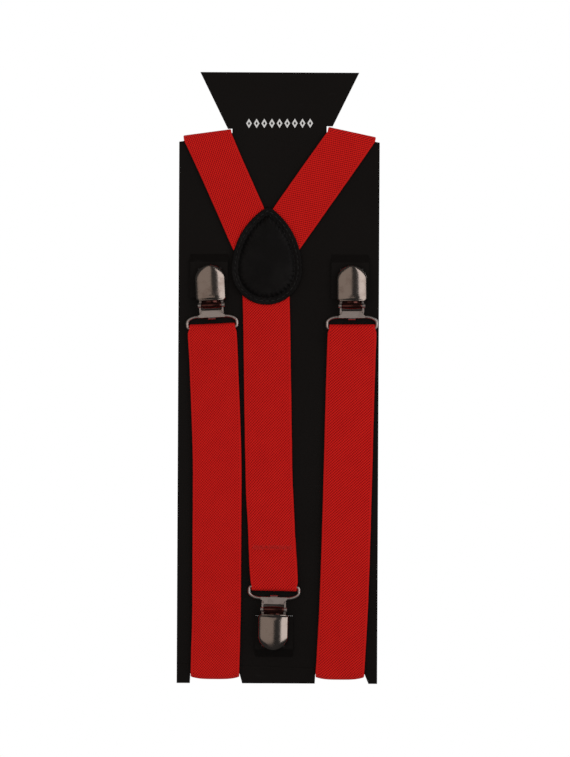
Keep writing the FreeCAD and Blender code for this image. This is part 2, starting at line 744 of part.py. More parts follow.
def drop_outline(inset, y):
    """The teardrop: a round foot, bowed sides and a rounded tip, set in by a margin."""
    foot_r = PATCH_R - inset
    side_r = PATCH_SIDE_R - inset
    tip_r = PATCH_TIP_R - inset
    centre = PATCH_SIDE_R - PATCH_R
    bow = math.radians(24)
    bow_x = centre - side_r * math.cos(bow)
    bow_z = side_r * math.sin(bow)
    foot = Part.Arc(Vector(foot_r, y, 0), Vector(0, y, -foot_r), Vector(-foot_r, y, 0)).toShape()
    if tip_r > 0.2:
        reach = math.hypot(centre, PATCH_TIP_RISE)
        tip_x = centre - side_r * centre / reach
        tip_z = side_r * PATCH_TIP_RISE / reach
        top = Part.Arc(
            Vector(tip_x, y, tip_z), Vector(0, y, PATCH_TIP_RISE + tip_r), Vector(-tip_x, y, tip_z)
        ).toShape()
        tops = [top]
    else:
        tip_x = 0.0
        tip_z = math.sqrt(side_r ** 2 - centre ** 2)
        tops = []
    left = Part.Arc(Vector(-foot_r, y, 0), Vector(bow_x, y, bow_z), Vector(tip_x, y, tip_z)).toShape()
    right = Part.Arc(Vector(-tip_x, y, tip_z), Vector(-bow_x, y, bow_z), Vector(foot_r, y, 0)).toShape()
    return Part.Wire([foot, left] + tops + [right])


def on_patch(shape):
    moved = shape.copy()
    moved.rotate(Vector(0, 0, 0), ALONG_Y, PATCH_LEAN)
    moved.translate(Vector(PATCH_X, 0, PATCH_Z))
    return moved


def drop_plate(inset, y):
    face = Part.Face(drop_outline(inset, min(y)))
    return face.extrude(Vector(0, abs(y[1] - y[0]), 0))


def drop_swell(inset, low_y, high_y, run_in):
    """A raised centre: the drop narrows as it rises."""
    return Part.makeLoft([drop_outline(inset, low_y), drop_outline(inset + run_in, high_y)], True, True)


def patch_front():
    """The front leather: a flat sewn border round a raised, padded centre."""
    flat = drop_plate(0, PATCH_FRONT_Y)
    swell = drop_swell(BORDER, PATCH_FRONT_Y[0] + 0.2, PADDING_PEAK_Y, 2.2)
    hollow = drop_swell(BORDER + 0.7, PATCH_FRONT_Y[1], PADDING_PEAK_Y + LEATHER_T, 2.2)
    return on_patch(join([flat, swell]).cut(hollow))


def patch_filler():
    """The pad inside the raised centre."""
    return on_patch(drop_swell(BORDER + 0.8, PATCH_FRONT_Y[1], PADDING_PEAK_Y + LEATHER_T + 0.08, 2.2))


def patch_stitching():
    """A row of stitches round the border."""
    path = drop_outline(STITCH_INSET, PATCH_FRONT_Y[0] - STITCH_R)
    count = round(path.Length / STITCH_PITCH)
    stitches = []
    points = path.discretize(Number=2 * count + 1)
    for i in range(count):
        start = points[2 * i]
        along = points[2 * i + 1] - start
        stitches.append(Part.makeCylinder(STITCH_R, STITCH_LENGTH, start, along))
    return on_patch(Part.makeCompound(stitches))


def main():
    os.makedirs("parts", exist_ok=True)
    export("card", card())
    export("hang_flap", hang_flap())
    for name, side in SIDES.items():
        export(name + "_strap", front_strap(side))
        export(name + "_strap_tail", strap_tail(side))
        export(name + "_adjuster_frame", hung(adjuster_frame(), side))
        export(name + "_adjuster_lever", hung(adjuster_lever(), side))
        sewn = (back_x(side, ADJ_Z - 14), OUTER_LAYER_Y + STRAP_T / 2, ADJ_Z - 14)
        export(name + "_end_tack", tack(*sewn, STRAP_WIDTH - 4, 1))
    export("back_strap", back_strap())
    export("back_strap_tack", tack(-2.75, -OUTER_LAYER_Y - STRAP_T / 2, -231.0, 20.0, -1))
    for name, clip in [("left", SIDES["left"]), ("right", SIDES["right"]), ("bottom", BOTTOM)]:
        export(name + "_tab", tab(clip))
        export(name + "_bail", placed(bail(), clip))
        export(name + "_clip_base", placed(clip_base(), clip))
        export(name + "_clip_pin", placed(clip_pin(), clip))
        export(name + "_clip_jaw", placed(clip_jaw(), clip))
        export(name + "_clip_pad", placed(clip_pad(), clip))
        export(name + "_clip_lever", placed(clip_lever(), clip))
    export("patch_back", on_patch(drop_plate(0, PATCH_BACK_Y)))
    export("patch_filler", patch_filler())
    export("patch_front", patch_front())
    export("patch_stitching", patch_stitching())


main()
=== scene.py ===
import math

import bmesh
import bpy
from mathutils import Matrix, Vector, noise

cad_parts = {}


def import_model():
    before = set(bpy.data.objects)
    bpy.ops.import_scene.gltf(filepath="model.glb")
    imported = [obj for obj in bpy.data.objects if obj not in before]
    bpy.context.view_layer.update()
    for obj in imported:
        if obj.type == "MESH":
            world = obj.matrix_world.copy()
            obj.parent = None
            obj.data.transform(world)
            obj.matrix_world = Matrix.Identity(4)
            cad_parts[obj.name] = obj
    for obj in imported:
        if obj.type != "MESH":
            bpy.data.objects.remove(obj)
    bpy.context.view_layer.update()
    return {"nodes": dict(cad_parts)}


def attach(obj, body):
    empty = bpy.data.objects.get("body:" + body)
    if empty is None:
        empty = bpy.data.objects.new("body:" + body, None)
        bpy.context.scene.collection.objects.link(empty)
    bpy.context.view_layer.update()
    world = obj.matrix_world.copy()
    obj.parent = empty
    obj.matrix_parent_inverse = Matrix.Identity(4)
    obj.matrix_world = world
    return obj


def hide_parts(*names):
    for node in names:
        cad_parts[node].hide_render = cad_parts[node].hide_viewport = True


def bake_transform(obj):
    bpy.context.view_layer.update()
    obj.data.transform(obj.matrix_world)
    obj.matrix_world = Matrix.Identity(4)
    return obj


# Looks for a pair of red clip-on suspenders on their black display card.
# The CAD frame is in metres; sizes here are written in millimetres and scaled by MM.

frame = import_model()
MM = 0.001
NODES = frame["nodes"]

# ---- the straps' route, the same stations as the CAD solids (mm) ----
STRAP_T = 1.2
STRAP_WIDTH = 24.8
LOOP_WIDTH = 23.2
DIAGONAL_WIDTH = 23.1
BACK_STRAP_WIDTH = 24.0
PATCH_LAYER_Y = 1.85
INNER_LAYER_Y = 1.0
OUTER_LAYER_Y = 2.35
ADJUSTER_LAYER_Y = 5.2
LOOP_MID_R = 1.45
TAIL_LOOP_R = 1.2
TAIL_START_Z = -285.0
NOTCH_Z = -295.45
BAIL_Y = -2.45
BAIL_HEIGHT = 5.8
ADJ_Y = 2.2
ADJ_Z = -171.0
STRAP_JOIN_X = -6.5
STRAP_JOIN_Z = -90.0
SIDES = {
    "left": {
        "fold": (-36.5, -21.95),
        "fold_tilt": 7.9,
        "fold_length": 24.6,
        "to_patch": (-12.7, -75.0),
        "diagonal": 23.4,
        "bottom_x": -31.6,
        "front": [(-30.9, -258.0), (-30.9, -197.0), (-33.0, -136.0)],
        "bail": (-33.8, -119.2),
        "lean": 2.8,
    },
    "right": {
        "fold": (36.6, -21.45),
        "fold_tilt": -12.0,
        "fold_length": 24.8,
        "to_patch": (-0.9, -75.4),
        "diagonal": -34.0,
        "bottom_x": 32.1,
        "front": [(34.0, -258.0), (35.6, -197.0), (37.0, -136.0)],
        "bail": (37.4, -119.2),
        "lean": 0.5,
    },
}
BOTTOM = {"bail": (-1.6, -251.1), "lean": 179.0}
CLIPS = {"left": SIDES["left"], "right": SIDES["right"], "bottom": BOTTOM}

# ---- the leather patch (mm) ----
PATCH_AT = (-6.3, -89.4)
PATCH_LEAN = 1.5
PATCH_R = 18.0
PATCH_SIDE_R = 38.0
PATCH_TIP_R = 3.0
PATCH_TIP_RISE = 28.7
PATCH_BACK_Y = (-1.15, -0.30)
PATCH_FRONT_Y = (-3.40, -2.55)
CROWN_PEAK_Y = -5.05
BORDER = 3.2
STITCH_INSET = 1.9
STITCHES = 42
POINTS_PER_STITCH = 6

# ---- the card (mm) ----
CUT_SWELL = 0.19
PRINT_Y = -0.42
PRINT_Z = -14.8

# ---- the clip's cover and rolled foot, in the clip's own frame (mm): mouth towards +Z ----
COVER_HALF = 7.65
COVER_START = 7.9
COVER_TIP = 26.3
COVER_ARC = 7.0
COVER_CHAMFER = 1.5
COVER_PEAK_Y = -5.3
COVER_RIM_Y = -2.0
COVER_WALL = 0.7
COVER_SAG = 1.9
TIP_DROP = 1.7
TIP_BEND_START = 17.0
PIN_Y = -4.0
PIN_Z = 5.6
ROLL_R = 1.75
ROLL_END_R = 1.3
ROLL_HALF = 5.2
ROLL_BORE = 0.8
ROLL_EDGE = 0.12
SLANT_RISE = 0.30
SLANT_SPREAD = 0.27
SLANT_FROM_Z = 19.4
SLANT_DELAY = 2.3
BEAD_HIGH = 0.34
BEAD_WIDE = 0.5
BEAD_Z = COVER_START + 0.55
DENT_DEEP = 0.30
DENT_HALF = 2.8
DENT_HIGH = 0.95
DENT_Z = COVER_START + 2.0


# ---------------------------------------------------------------- mesh helpers


def new_piece(name, verts, faces, material, smooth=True):
    """A mesh object from points in millimetres."""
    mesh = bpy.data.meshes.new(name)
    mesh.from_pydata([Vector(v) * MM for v in verts], [], faces)
    mesh.validate()
    mesh.materials.append(material)
    for polygon in mesh.polygons:
        polygon.use_smooth = smooth
    piece = bpy.data.objects.new(name, mesh)
    bpy.context.scene.collection.objects.link(piece)
    return piece


def apply_modifiers(piece):
    """Swaps the mesh for the one its modifiers make, so that nothing is left to evaluate."""
    view = bpy.context.evaluated_depsgraph_get()
    done = bpy.data.meshes.new_from_object(piece.evaluated_get(view), depsgraph=view)
    piece.modifiers.clear()
    piece.data = done


def join_bodies(parts):
    """One list of points and faces from several (points, faces) pairs."""
    verts = []
    faces = []
    for points, polygons in parts:
        base = len(verts)
        verts += points
        faces += [tuple(base + i for i in polygon) for polygon in polygons]
    return verts, faces


def ring_quads(rings, size, outward=True):
    """Four-sided faces between rings of the same number of points."""
    faces = []
    for i in range(rings - 1):
        low = i * size
        high = low + size
        for k in range(size):
            j = (k + 1) % size
            if outward:
                faces.append((low + k, high + k, high + j, low + j))
            else:
                faces.append((low + k, low + j, high + j, high + k))
    return faces


def tube(path, radius, sides=8):
    """Points and faces of a round tube along a list of points; radius may be a list."""
    radii = radius if isinstance(radius, list) else [radius] * len(path)
    verts = []
    count = len(path)
    reference = None
    for i, point in enumerate(path):
        before = path[max(i - 1, 0)]
        after = path[min(i + 1, count - 1)]
        along = (after - before).normalized()
        if reference is None:
            reference = along.orthogonal().normalized()
        reference = (reference - along * reference.dot(along)).normalized()
        side = along.cross(reference)
        for k in range(sides):
            angle = 2 * math.pi * k / sides
            verts.append(point + (reference * math.cos(angle) + side * math.sin(angle)) * radii[i])
    faces = ring_quads(count, sides, outward=False)
    faces.append(tuple(reversed(range(sides))))
    faces.append(tuple(range((count - 1) * sides, count * sides)))
    return verts, faces


# ---------------------------------------------------------------- node helpers


class Shader:
    """A short way to write a node material: each call adds a node and returns its output."""

    def __init__(self, name):
        self.material = bpy.data.materials.new(name)
        self.material.use_nodes = True
        self.tree = self.material.node_tree
        self.tree.nodes.clear()
        self.output = self.tree.nodes.new("ShaderNodeOutputMaterial")
        self.surface = self.tree.nodes.new("ShaderNodeBsdfPrincipled")
        self.tree.links.new(self.surface.outputs[0], self.output.inputs["Surface"])

    def put(self, socket, value):
        if isinstance(value, bpy.types.NodeSocket):
            self.tree.links.new(value, socket)
        elif isinstance(value, tuple) and len(value) == 3 and len(socket.default_value) == 4:
            socket.default_value = (*value, 1.0)
        else:
            socket.default_value = value

    def principled(self, **values):
        for name, value in values.items():
            self.put(self.surface.inputs[name.replace("_", " ")], value)

    def math(self, operation, a, b=0.0, c=0.0):
        node = self.tree.nodes.new("ShaderNodeMath")
        node.operation = operation
        for socket, value in zip(node.inputs, (a, b, c)):
            self.put(socket, value)
        return node.outputs[0]

    def mix(self, factor, a, b):
        node = self.tree.nodes.new("ShaderNodeMix")
        node.data_type = "RGBA"
        self.put(node.inputs[0], factor)
        self.put(node.inputs[6], a)
        self.put(node.inputs[7], b)
        return node.outputs[2]

    def blend_numbers(self, factor, a, b):
        node = self.tree.nodes.new("ShaderNodeMix")
        node.data_type = "FLOAT"
        self.put(node.inputs[0], factor)
        self.put(node.inputs[2], a)
        self.put(node.inputs[3], b)
        return node.outputs[0]

    def limits(self, value, low, high, to_low=0.0, to_high=1.0):
        node = self.tree.nodes.new("ShaderNodeMapRange")
        node.interpolation_type = "SMOOTHSTEP"
        for socket, number in zip(node.inputs, (value, low, high, to_low, to_high)):
            self.put(socket, number)
        return node.outputs[0]

    def coordinates(self, kind="Object"):
        return self.tree.nodes.new("ShaderNodeTexCoord").outputs[kind]

    def split(self, vector):
        node = self.tree.nodes.new("ShaderNodeSeparateXYZ")
        self.put(node.inputs[0], vector)
        return node.outputs

    def attribute(self, name):
        node = self.tree.nodes.new("ShaderNodeAttribute")
        node.attribute_name = name
        return node.outputs["Fac"]

    def stretched(self, vector, scale):
        node = self.tree.nodes.new("ShaderNodeMapping")
        self.put(node.inputs["Vector"], vector)
        self.put(node.inputs["Scale"], scale)
        return node.outputs[0]

    def noise(self, vector, scale, detail=3.0, roughness=0.5):
        node = self.tree.nodes.new("ShaderNodeTexNoise")
        self.put(node.inputs["Vector"], vector)
        self.put(node.inputs["Scale"], scale)
        self.put(node.inputs["Detail"], detail)
        self.put(node.inputs["Roughness"], roughness)
        return node.outputs[0]

    def cells(self, vector, scale, feature="F1"):
        node = self.tree.nodes.new("ShaderNodeTexVoronoi")
        node.feature = feature
        self.put(node.inputs["Vector"], vector)
        self.put(node.inputs["Scale"], scale)
        return node.outputs["Distance"]

    def bump(self, height, distance, strength=1.0, under=None):
        node = self.tree.nodes.new("ShaderNodeBump")
        self.put(node.inputs["Height"], height)
        self.put(node.inputs["Distance"], distance)
        self.put(node.inputs["Strength"], strength)
        if under is not None:
            self.put(node.inputs["Normal"], under)
        return node.outputs[0]

    def ripple(self, value, pitch):
        """0 to 1 and back once every pitch."""
        turns = self.math("MULTIPLY", value, 2 * math.pi / pitch)
        return self.math("MULTIPLY_ADD", self.math("SINE", turns), 0.5, 0.5)


# ---------------------------------------------------------------- materials


def webbing_material():
    """Red elastic webbing: a twill rising to the right, broken by warp ribs, with plain selvedges; painted
    shade in the weave's low places and painted highlight on its raised threads.
    """
    s = Shader("red_elastic_webbing")
    across, along, _ = s.split(s.coordinates("UV"))
    inset = s.attribute("inset")
    wobble = s.noise(s.coordinates("UV"), 6.0, 2.0)
    shift = s.math("MULTIPLY", s.math("SUBTRACT", wobble, 0.5), 0.05)
    slope = s.math("MULTIPLY_ADD", across, -1.07, s.math("ADD", along, shift))
    counter = s.math("MULTIPLY_ADD", across, 1.07, s.math("ADD", along, shift))
    twill = s.ripple(slope, 0.145)
    cross = s.ripple(counter, 0.145)
    body = s.math("ADD", s.math("MULTIPLY", twill, 0.62), s.math("MULTIPLY", cross, 0.38))
    ribs = s.ripple(across, 0.07)
    edge_ribs = s.ripple(along, 0.075)
    selvedge = s.limits(inset, 0.9, 1.4, 1.0, 0.0)
    edge = s.math("MULTIPLY_ADD", edge_ribs, 0.22, 0.42)
    weave = s.blend_numbers(selvedge, body, edge)
    seam = s.limits(s.math("ABSOLUTE", s.math("SUBTRACT", inset, 1.3)), 0.0, 0.22, 0.12, 0.0)
    height = s.math("SUBTRACT", weave, seam)
    fuzz = s.noise(s.coordinates("UV"), 60.0, 4.0, 0.7)
    patchy = s.noise(s.coordinates("UV"), 0.9, 3.0)
    # Painted light: the red is darkest where the weave height is low (painted shade in the hollows and the
    # seam groove) and brightest on raised threads (painted highlight); patchy only varies the tone at
    # random.
    shaded_weave_red = s.mix(patchy, (0.160, 0.0008, 0.0008), (0.200, 0.0014, 0.0012))
    lit = s.mix(patchy, (0.570, 0.0040, 0.0026), (0.650, 0.0090, 0.0050))
    level = s.limits(s.math("MULTIPLY_ADD", fuzz, 0.35, s.math("SUBTRACT", height, 0.17)), 0.05, 0.85)
    colour = s.mix(level, shaded_weave_red, lit)
    fibres = s.math("MULTIPLY_ADD", fuzz, 0.5, s.math("MULTIPLY_ADD", ribs, 0.22, height))
    normal = s.bump(fibres, 0.00016, 0.75)
    s.principled(
        Base_Color=colour,
        Roughness=s.limits(level, 0.0, 1.0, 0.9, 0.72),
        Specular_IOR_Level=0.12,
        Sheen_Weight=0.05,
        Sheen_Roughness=0.45,
        Sheen_Tint=(1.0, 0.12, 0.08),
        Normal=normal,
    )
    return s.material


def card_material():
    """Coated black card: a faint mottle, fine scuffs, a lighter cut edge (its paper core, brightened further
    as a painted highlight on the cut faces) and two soft creases.
    """
    s = Shader("black_coated_card")
    place = s.coordinates("Object")
    x, _, z = s.split(place)
    _, facing, _ = s.split(s.coordinates("Normal"))
    mottle = s.noise(place, 900.0, 4.0, 0.6)
    cloud = s.noise(place, 28.0, 3.0)
    scuffs = s.noise(s.stretched(place, (60.0, 60.0, 900.0)), 1.0, 2.0, 0.7)
    marks = s.limits(scuffs, 0.66, 0.80)
    face = s.mix(cloud, (0.0036, 0.0026, 0.0022), (0.0056, 0.0040, 0.0032))
    face = s.mix(s.math("MULTIPLY", marks, 0.08), face, (0.05, 0.048, 0.046))
    # The cut faces get a lighter grey: partly the paper core, partly a painted highlight standing in for the
    # lit cut edges.
    cut = s.limits(s.math("ABSOLUTE", facing), 0.35, 0.7, 1.0, 0.0)
    fibre = s.noise(place, 4000.0, 3.0, 0.7)
    core_and_painted_glint = s.mix(fibre, (0.020, 0.019, 0.018), (0.060, 0.057, 0.053))
    colour = s.mix(cut, face, core_and_painted_glint)
    low = s.math("ADD", s.math("MULTIPLY", x, 0.03), z)
    crease = s.limits(s.math("ABSOLUTE", s.math("ADD", low, 0.2922)), 0.0, 0.0006, 1.0, 0.0)
    flange = s.math("ADD", s.math("MULTIPLY", x, -1.4), z)
    corner = s.limits(s.math("ABSOLUTE", s.math("ADD", flange, 0.2682)), 0.0, 0.0007, 1.0, 0.0)
    below = s.limits(z, -0.2900, -0.2890, 1.0, 0.0)
    folds = s.math("ADD", crease, s.math("MULTIPLY", corner, below))
    height = s.math("ADD", s.math("MULTIPLY", mottle, 0.05), s.math("MULTIPLY", folds, -0.35))
    normal = s.bump(height, 0.00035, 0.55)
    rough = s.math("MULTIPLY_ADD", cloud, 0.14, s.math("MULTIPLY_ADD", marks, 0.15, 0.36))
    s.principled(
        Base_Color=colour,
        Roughness=s.blend_numbers(cut, rough, 0.9),
        Specular_IOR_Level=0.20,
        Normal=normal,
    )
    return s.material


def leather_material():
    """Black grained leather: small pebbles, open pores and worn patches, lighter and glossier, scattered at
    random.
    """
    s = Shader("black_grained_leather")
    place = s.coordinates("Object")
    warp = s.noise(place, 260.0, 3.0)
    pebbles = s.cells(s.mix(0.04, place, warp), 1500.0)
    pores = s.limits(s.cells(place, 2600.0), 0.0, 0.28)
    wrinkles = s.noise(s.stretched(place, (420.0, 420.0, 260.0)), 1.0, 5.0, 0.62)
    height = s.math("MULTIPLY_ADD", pores, 0.25, s.math("MULTIPLY_ADD", wrinkles, 0.9, pebbles))
    worn = s.limits(s.noise(place, 75.0, 4.0), 0.45, 0.70)
    colour = s.mix(s.limits(pebbles, 0.15, 0.6), (0.0034, 0.0030, 0.0030), (0.0014, 0.0012, 0.0012))
    colour = s.mix(s.math("MULTIPLY", worn, 0.35), colour, (0.0060, 0.0054, 0.0052))
    normal = s.bump(height, 0.00010, 0.6)
    s.principled(
        Base_Color=colour,
        Roughness=s.math("MULTIPLY_ADD", worn, -0.10, s.math("MULTIPLY_ADD", pebbles, 0.16, 0.40)),
        Specular_IOR_Level=0.24,
        Normal=normal,
    )
    return s.material


def thread_material(name, dark, light):
    """Sewing thread with a two-ply twist, painted darker in the ply grooves as painted shade and lighter on
    the ply crowns as painted highlight.
    """
    s = Shader(name)
    place = s.coordinates("Object")
    x, _, z = s.split(place)
    twist = s.ripple(s.math("ADD", s.math("MULTIPLY", x, 0.8), z), 0.00045)
    fuzz = s.noise(place, 5200.0, 3.0, 0.7)
    # Painted light: the colour follows the twist's height, the shaded tone in the grooves and the lit tone
    # on the crowns.
    level = s.math("MULTIPLY_ADD", twist, 0.6, s.math("MULTIPLY", fuzz, 0.4))
    s.principled(
        Base_Color=s.mix(level, dark, light),
        Roughness=s.math("MULTIPLY_ADD", fuzz, 0.2, 0.55),
        Specular_IOR_Level=0.35,
        Normal=s.bump(level, 0.00006, 0.6),
    )
    return s.material


def metal_material(name, colour, haze, rough, brush, bumpy):
    """Bright plated steel: fine drawn lines, cloudy plating, and small scratches and specks."""
    s = Shader(name)
    place = s.coordinates("Object")
    lines = s.noise(s.stretched(place, brush), 1.0, 4.0, 0.65)
    cloud = s.noise(place, 190.0, 4.0, 0.55)
    specks = s.limits(s.noise(place, 2100.0, 2.0, 0.6), 0.66, 0.74)
    wear = s.limits(cloud, 0.50, 0.72)
    tone = s.mix(wear, colour, haze)
    tone = s.mix(s.math("MULTIPLY", specks, 0.25), tone, (0.32, 0.29, 0.27))
    roughness = s.math("MULTIPLY_ADD", wear, 0.09, s.math("MULTIPLY_ADD", lines, 0.10, rough))
    roughness = s.math("MULTIPLY_ADD", specks, 0.12, roughness)
    height = s.math("MULTIPLY_ADD", cloud, 0.8, s.math("MULTIPLY", lines, 0.35))
    s.principled(
        Base_Color=tone,
        Metallic=1.0,
        Roughness=roughness,
        Normal=s.bump(height, 0.00002, bumpy),
    )
    return s.material


def plastic_material():
    """Moulded black gripping plastic with a fine spark finish and faint flow marks."""
    s = Shader("grip_plastic")
    place = s.coordinates("Object")
    spark = s.noise(place, 3800.0, 3.0, 0.6)
    flow = s.noise(s.stretched(place, (500.0, 900.0, 160.0)), 1.0, 3.0)
    s.principled(
        Base_Color=s.mix(flow, (0.018, 0.018, 0.018), (0.034, 0.033, 0.032)),
        Roughness=s.math("MULTIPLY_ADD", spark, 0.2, 0.32),
        Specular_IOR_Level=0.45,
        Subsurface_Weight=0.08,
        Subsurface_Radius=(0.6, 0.55, 0.5),
        Subsurface_Scale=0.001,
        Normal=s.bump(spark, 0.00004, 0.5),
    )
    return s.material


def ink_material():
    """White screen-printed ink, a little thin in places."""
    s = Shader("white_print")
    place = s.coordinates("Object")
    thin = s.limits(s.noise(place, 1500.0, 3.0, 0.6), 0.58, 0.75)
    s.principled(
        Base_Color=s.mix(s.math("MULTIPLY", thin, 0.5), (0.62, 0.62, 0.61), (0.30, 0.30, 0.295)),
        Roughness=s.math("MULTIPLY_ADD", thin, 0.2, 0.45),
        Specular_IOR_Level=0.3,
    )
    return s.material


RED = webbing_material()
CARD = card_material()
LEATHER = leather_material()
# Each thread gets a shaded and a lit tone of its colour, painted along the twist.
RED_THREAD = thread_material("red_sewing_thread", (0.34, 0.003, 0.002), (0.66, 0.012, 0.008))
BLACK_THREAD = thread_material("black_sewing_thread", (0.003, 0.003, 0.003), (0.024, 0.023, 0.022))
COVER = metal_material("chrome_cover", (0.50, 0.44, 0.40), (0.43, 0.36, 0.32), 0.12, (2600, 2600, 60), 0.20)
STEEL = metal_material("plated_steel", (0.93, 0.87, 0.84), (0.78, 0.72, 0.69), 0.34, (300, 1500, 1500), 0.10)
# Painted shade: the jaw's plated steel is darkened to stand in for the shade under the cover, so its corners
# catch no highlights.
JAW = metal_material("jaw_steel_darkened_as_painted_shade", (0.26, 0.25, 0.24), (0.20, 0.19, 0.18), 0.42, (300, 1500, 1500), 0.10)
# Painted reflection: the rolled foot's plating is tinted dark red to stand in for the red strap it mirrors.
ROLL = metal_material(
    "rolled_edge_with_painted_red_reflection", (0.18, 0.07, 0.06), (0.13, 0.05, 0.043), 0.16, (2600, 200, 200), 0.10
)
PLASTIC = plastic_material()
INK = ink_material()


# ---------------------------------------------------------------- webbing


def edge_pair(x, y, z, width, tilt=0.0):
    """The two edges of the webbing at a station, left one first."""
    turn = math.radians(tilt)
    across = Vector((math.cos(turn), 0, math.sin(turn))) * (width / 2)
    return (Vector((x, y, z)) - across, Vector((x, y, z)) + across)


def glide(pairs, step=3.5):
    """Edge pairs along a smooth run that goes through its stations and never overshoots them."""
    rows = [list(a) + list(b) for a, b in pairs]
    spans = [((c + d) / 2 - (a + b) / 2).length for (a, b), (c, d) in zip(pairs, pairs[1:])]
    secants = [[(q - p) / span for p, q in zip(low, high)] for low, high, span in zip(rows, rows[1:], spans)]
    slopes = [secants[0]]
    for before, after in zip(secants, secants[1:]):
        slopes.append([2 * p * q / (p + q) if p * q > 0 else 0.0 for p, q in zip(before, after)])
    slopes.append(secants[-1])
    result = []
    for i, span in enumerate(spans):
        count = max(1, math.ceil(span / step))
        for k in range(count):
            t = k / count
            leave = t ** 3 - 2 * t ** 2 + t
            arrive = t ** 3 - t ** 2
            row = []
            for j in range(6):
                start = rows[i][j] * (2 * t ** 3 - 3 * t ** 2 + 1) + slopes[i][j] * span * leave
                end = rows[i + 1][j] * (3 * t ** 2 - 2 * t ** 3) + slopes[i + 1][j] * span * arrive
                row.append(start + end)
            result.append((Vector(row[:3]), Vector(row[3:])))
    return result + [pairs[-1]]


def turned(pair, axis_y, turn, tilt=0.0, steps=12):
    """Edge pairs round a level bar or edge, after the first."""
    middle = (pair[0] + pair[1]) / 2
    axis = Vector((math.cos(math.radians(tilt)), 0, math.sin(math.radians(tilt))))
    centre = Vector((middle.x, axis_y, middle.z))
    result = []
    for i in range(1, steps + 1):
        spin = Matrix.Rotation(math.radians(turn * i / steps), 3, axis)
        result.append(tuple(centre + spin @ (point - centre) for point in pair))
    return result


def back_x(side, z):
    """Centre of the strap on the card's back at a height."""
    top_x, top_z = side["fold"]
    share = (z - top_z) / (NOTCH_Z - top_z)
    return top_x + share * (side["bottom_x"] - top_x)


def back_tilt(side):
    """Lean of the strap on the card's back, in degrees."""
    return -math.degrees(math.atan2(back_x(side, -20.0) - back_x(side, -120.0), 100.0))


def fold_bow(point, share):
    """How far the bottom fold's corners draw up, so that the fold bows down in the middle."""
    bow = 1.25
    reach = 4.0
    radius = math.hypot(point.y, min(point.z - NOTCH_Z, 0.0))
    outer = min(max((radius - 1.5) / 0.4, 0.0), 1.0)
    near = min(max((NOTCH_Z + reach - point.z) / 6.0, 0.0), 1.0)
    return bow * outer * near * near * (3 - 2 * near) * abs(share) ** 3.5


def band_section(half):
    """The webbing's cross section: (across, lift) points round a flat band with rounded selvedges."""
    half_t = STRAP_T / 2
    columns = 12
    round_in = 0.5
    flat = half - round_in
    steps = [-flat + 2 * flat * k / columns for k in range(columns + 1)]
    ring = [(across, half_t) for across in steps]
    for side, lifts in ((1, (0.42, 0.16, -0.16, -0.42)), (-1, (-0.42, -0.16, 0.16, 0.42))):
        if side < 0:
            ring += [(-across, -half_t) for across in steps]
        for lift in lifts:
            ring.append((side * (half - round_in * (1 - math.cos(math.asin(lift / half_t * 0.98)))), lift))
    return ring


def webbing(name, route, seed):
    """A woven band along a list of edge pairs, with its weave laid out in centimetres."""
    arc = [0.0, 0.0]
    marks = []
    for i, (left, right) in enumerate(route):
        if i:
            arc = [arc[0] + (left - route[i - 1][0]).length, arc[1] + (right - route[i - 1][1]).length]
        marks.append(tuple(arc))
    verts = []
    texture = []
    insets = []
    for i, (left, right) in enumerate(route):
        before = sum(route[max(i - 1, 0)], Vector()) / 2
        after = sum(route[min(i + 1, len(route) - 1)], Vector()) / 2
        across = (right - left).normalized()
        normal = across.cross(after - before).normalized()
        half = (right - left).length / 2
        middle = (left + right) / 2
        length = sum(marks[i]) / 2
        ragged = 0.07 * noise.noise(Vector((seed, length * 0.35, 0.0)))
        ragged += 0.09 * noise.noise(Vector((seed, length * 0.06, 5.0)))
        half += ragged
        middle = middle + across * 0.12 * noise.noise(Vector((seed + 3.0, length * 0.02, 9.0)))
        ring = band_section(half)
        for out, lift in ring:
            point = middle + across * out + normal * lift
            point.z += fold_bow(point, out / half)
            verts.append(point)
            share = (out / half + 1) / 2
            texture.append((out * 0.1, (marks[i][0] * (1 - share) + marks[i][1] * share) * 0.1))
            insets.append(half - abs(out))
    size = len(ring)
    faces = ring_quads(len(route), size, outward=False)
    faces.append(tuple(range(size)))
    faces.append(tuple(reversed(range((len(route) - 1) * size, len(route) * size))))
    piece = new_piece(name, verts, faces, RED)
    layer = piece.data.uv_layers.new(name="weave")
    for loop in piece.data.loops:
        layer.data[loop.index].uv = texture[loop.vertex_index]
    attribute = piece.data.attributes.new("inset", "FLOAT", "POINT")
    for i, value in enumerate(insets):
        attribute.data[i].value = value
    return piece


def trim(piece, x, keep_left):
    """Cuts a strap along an upright plane under the patch and closes the cut."""
    mesh = bmesh.new()
    mesh.from_mesh(piece.data)
    normal = Vector((1, 0, 0)) if keep_left else Vector((-1, 0, 0))
    everything = mesh.verts[:] + mesh.edges[:] + mesh.faces[:]
    cut = bmesh.ops.bisect_plane(
        mesh, geom=everything, plane_co=Vector((x * MM, 0, 0)), plane_no=normal, clear_outer=True
    )
    edges = [e for e in cut["geom_cut"] if isinstance(e, bmesh.types.BMEdge)]
    bmesh.ops.holes_fill(mesh, edges=edges, sides=0)
    mesh.to_mesh(piece.data)
    mesh.free()


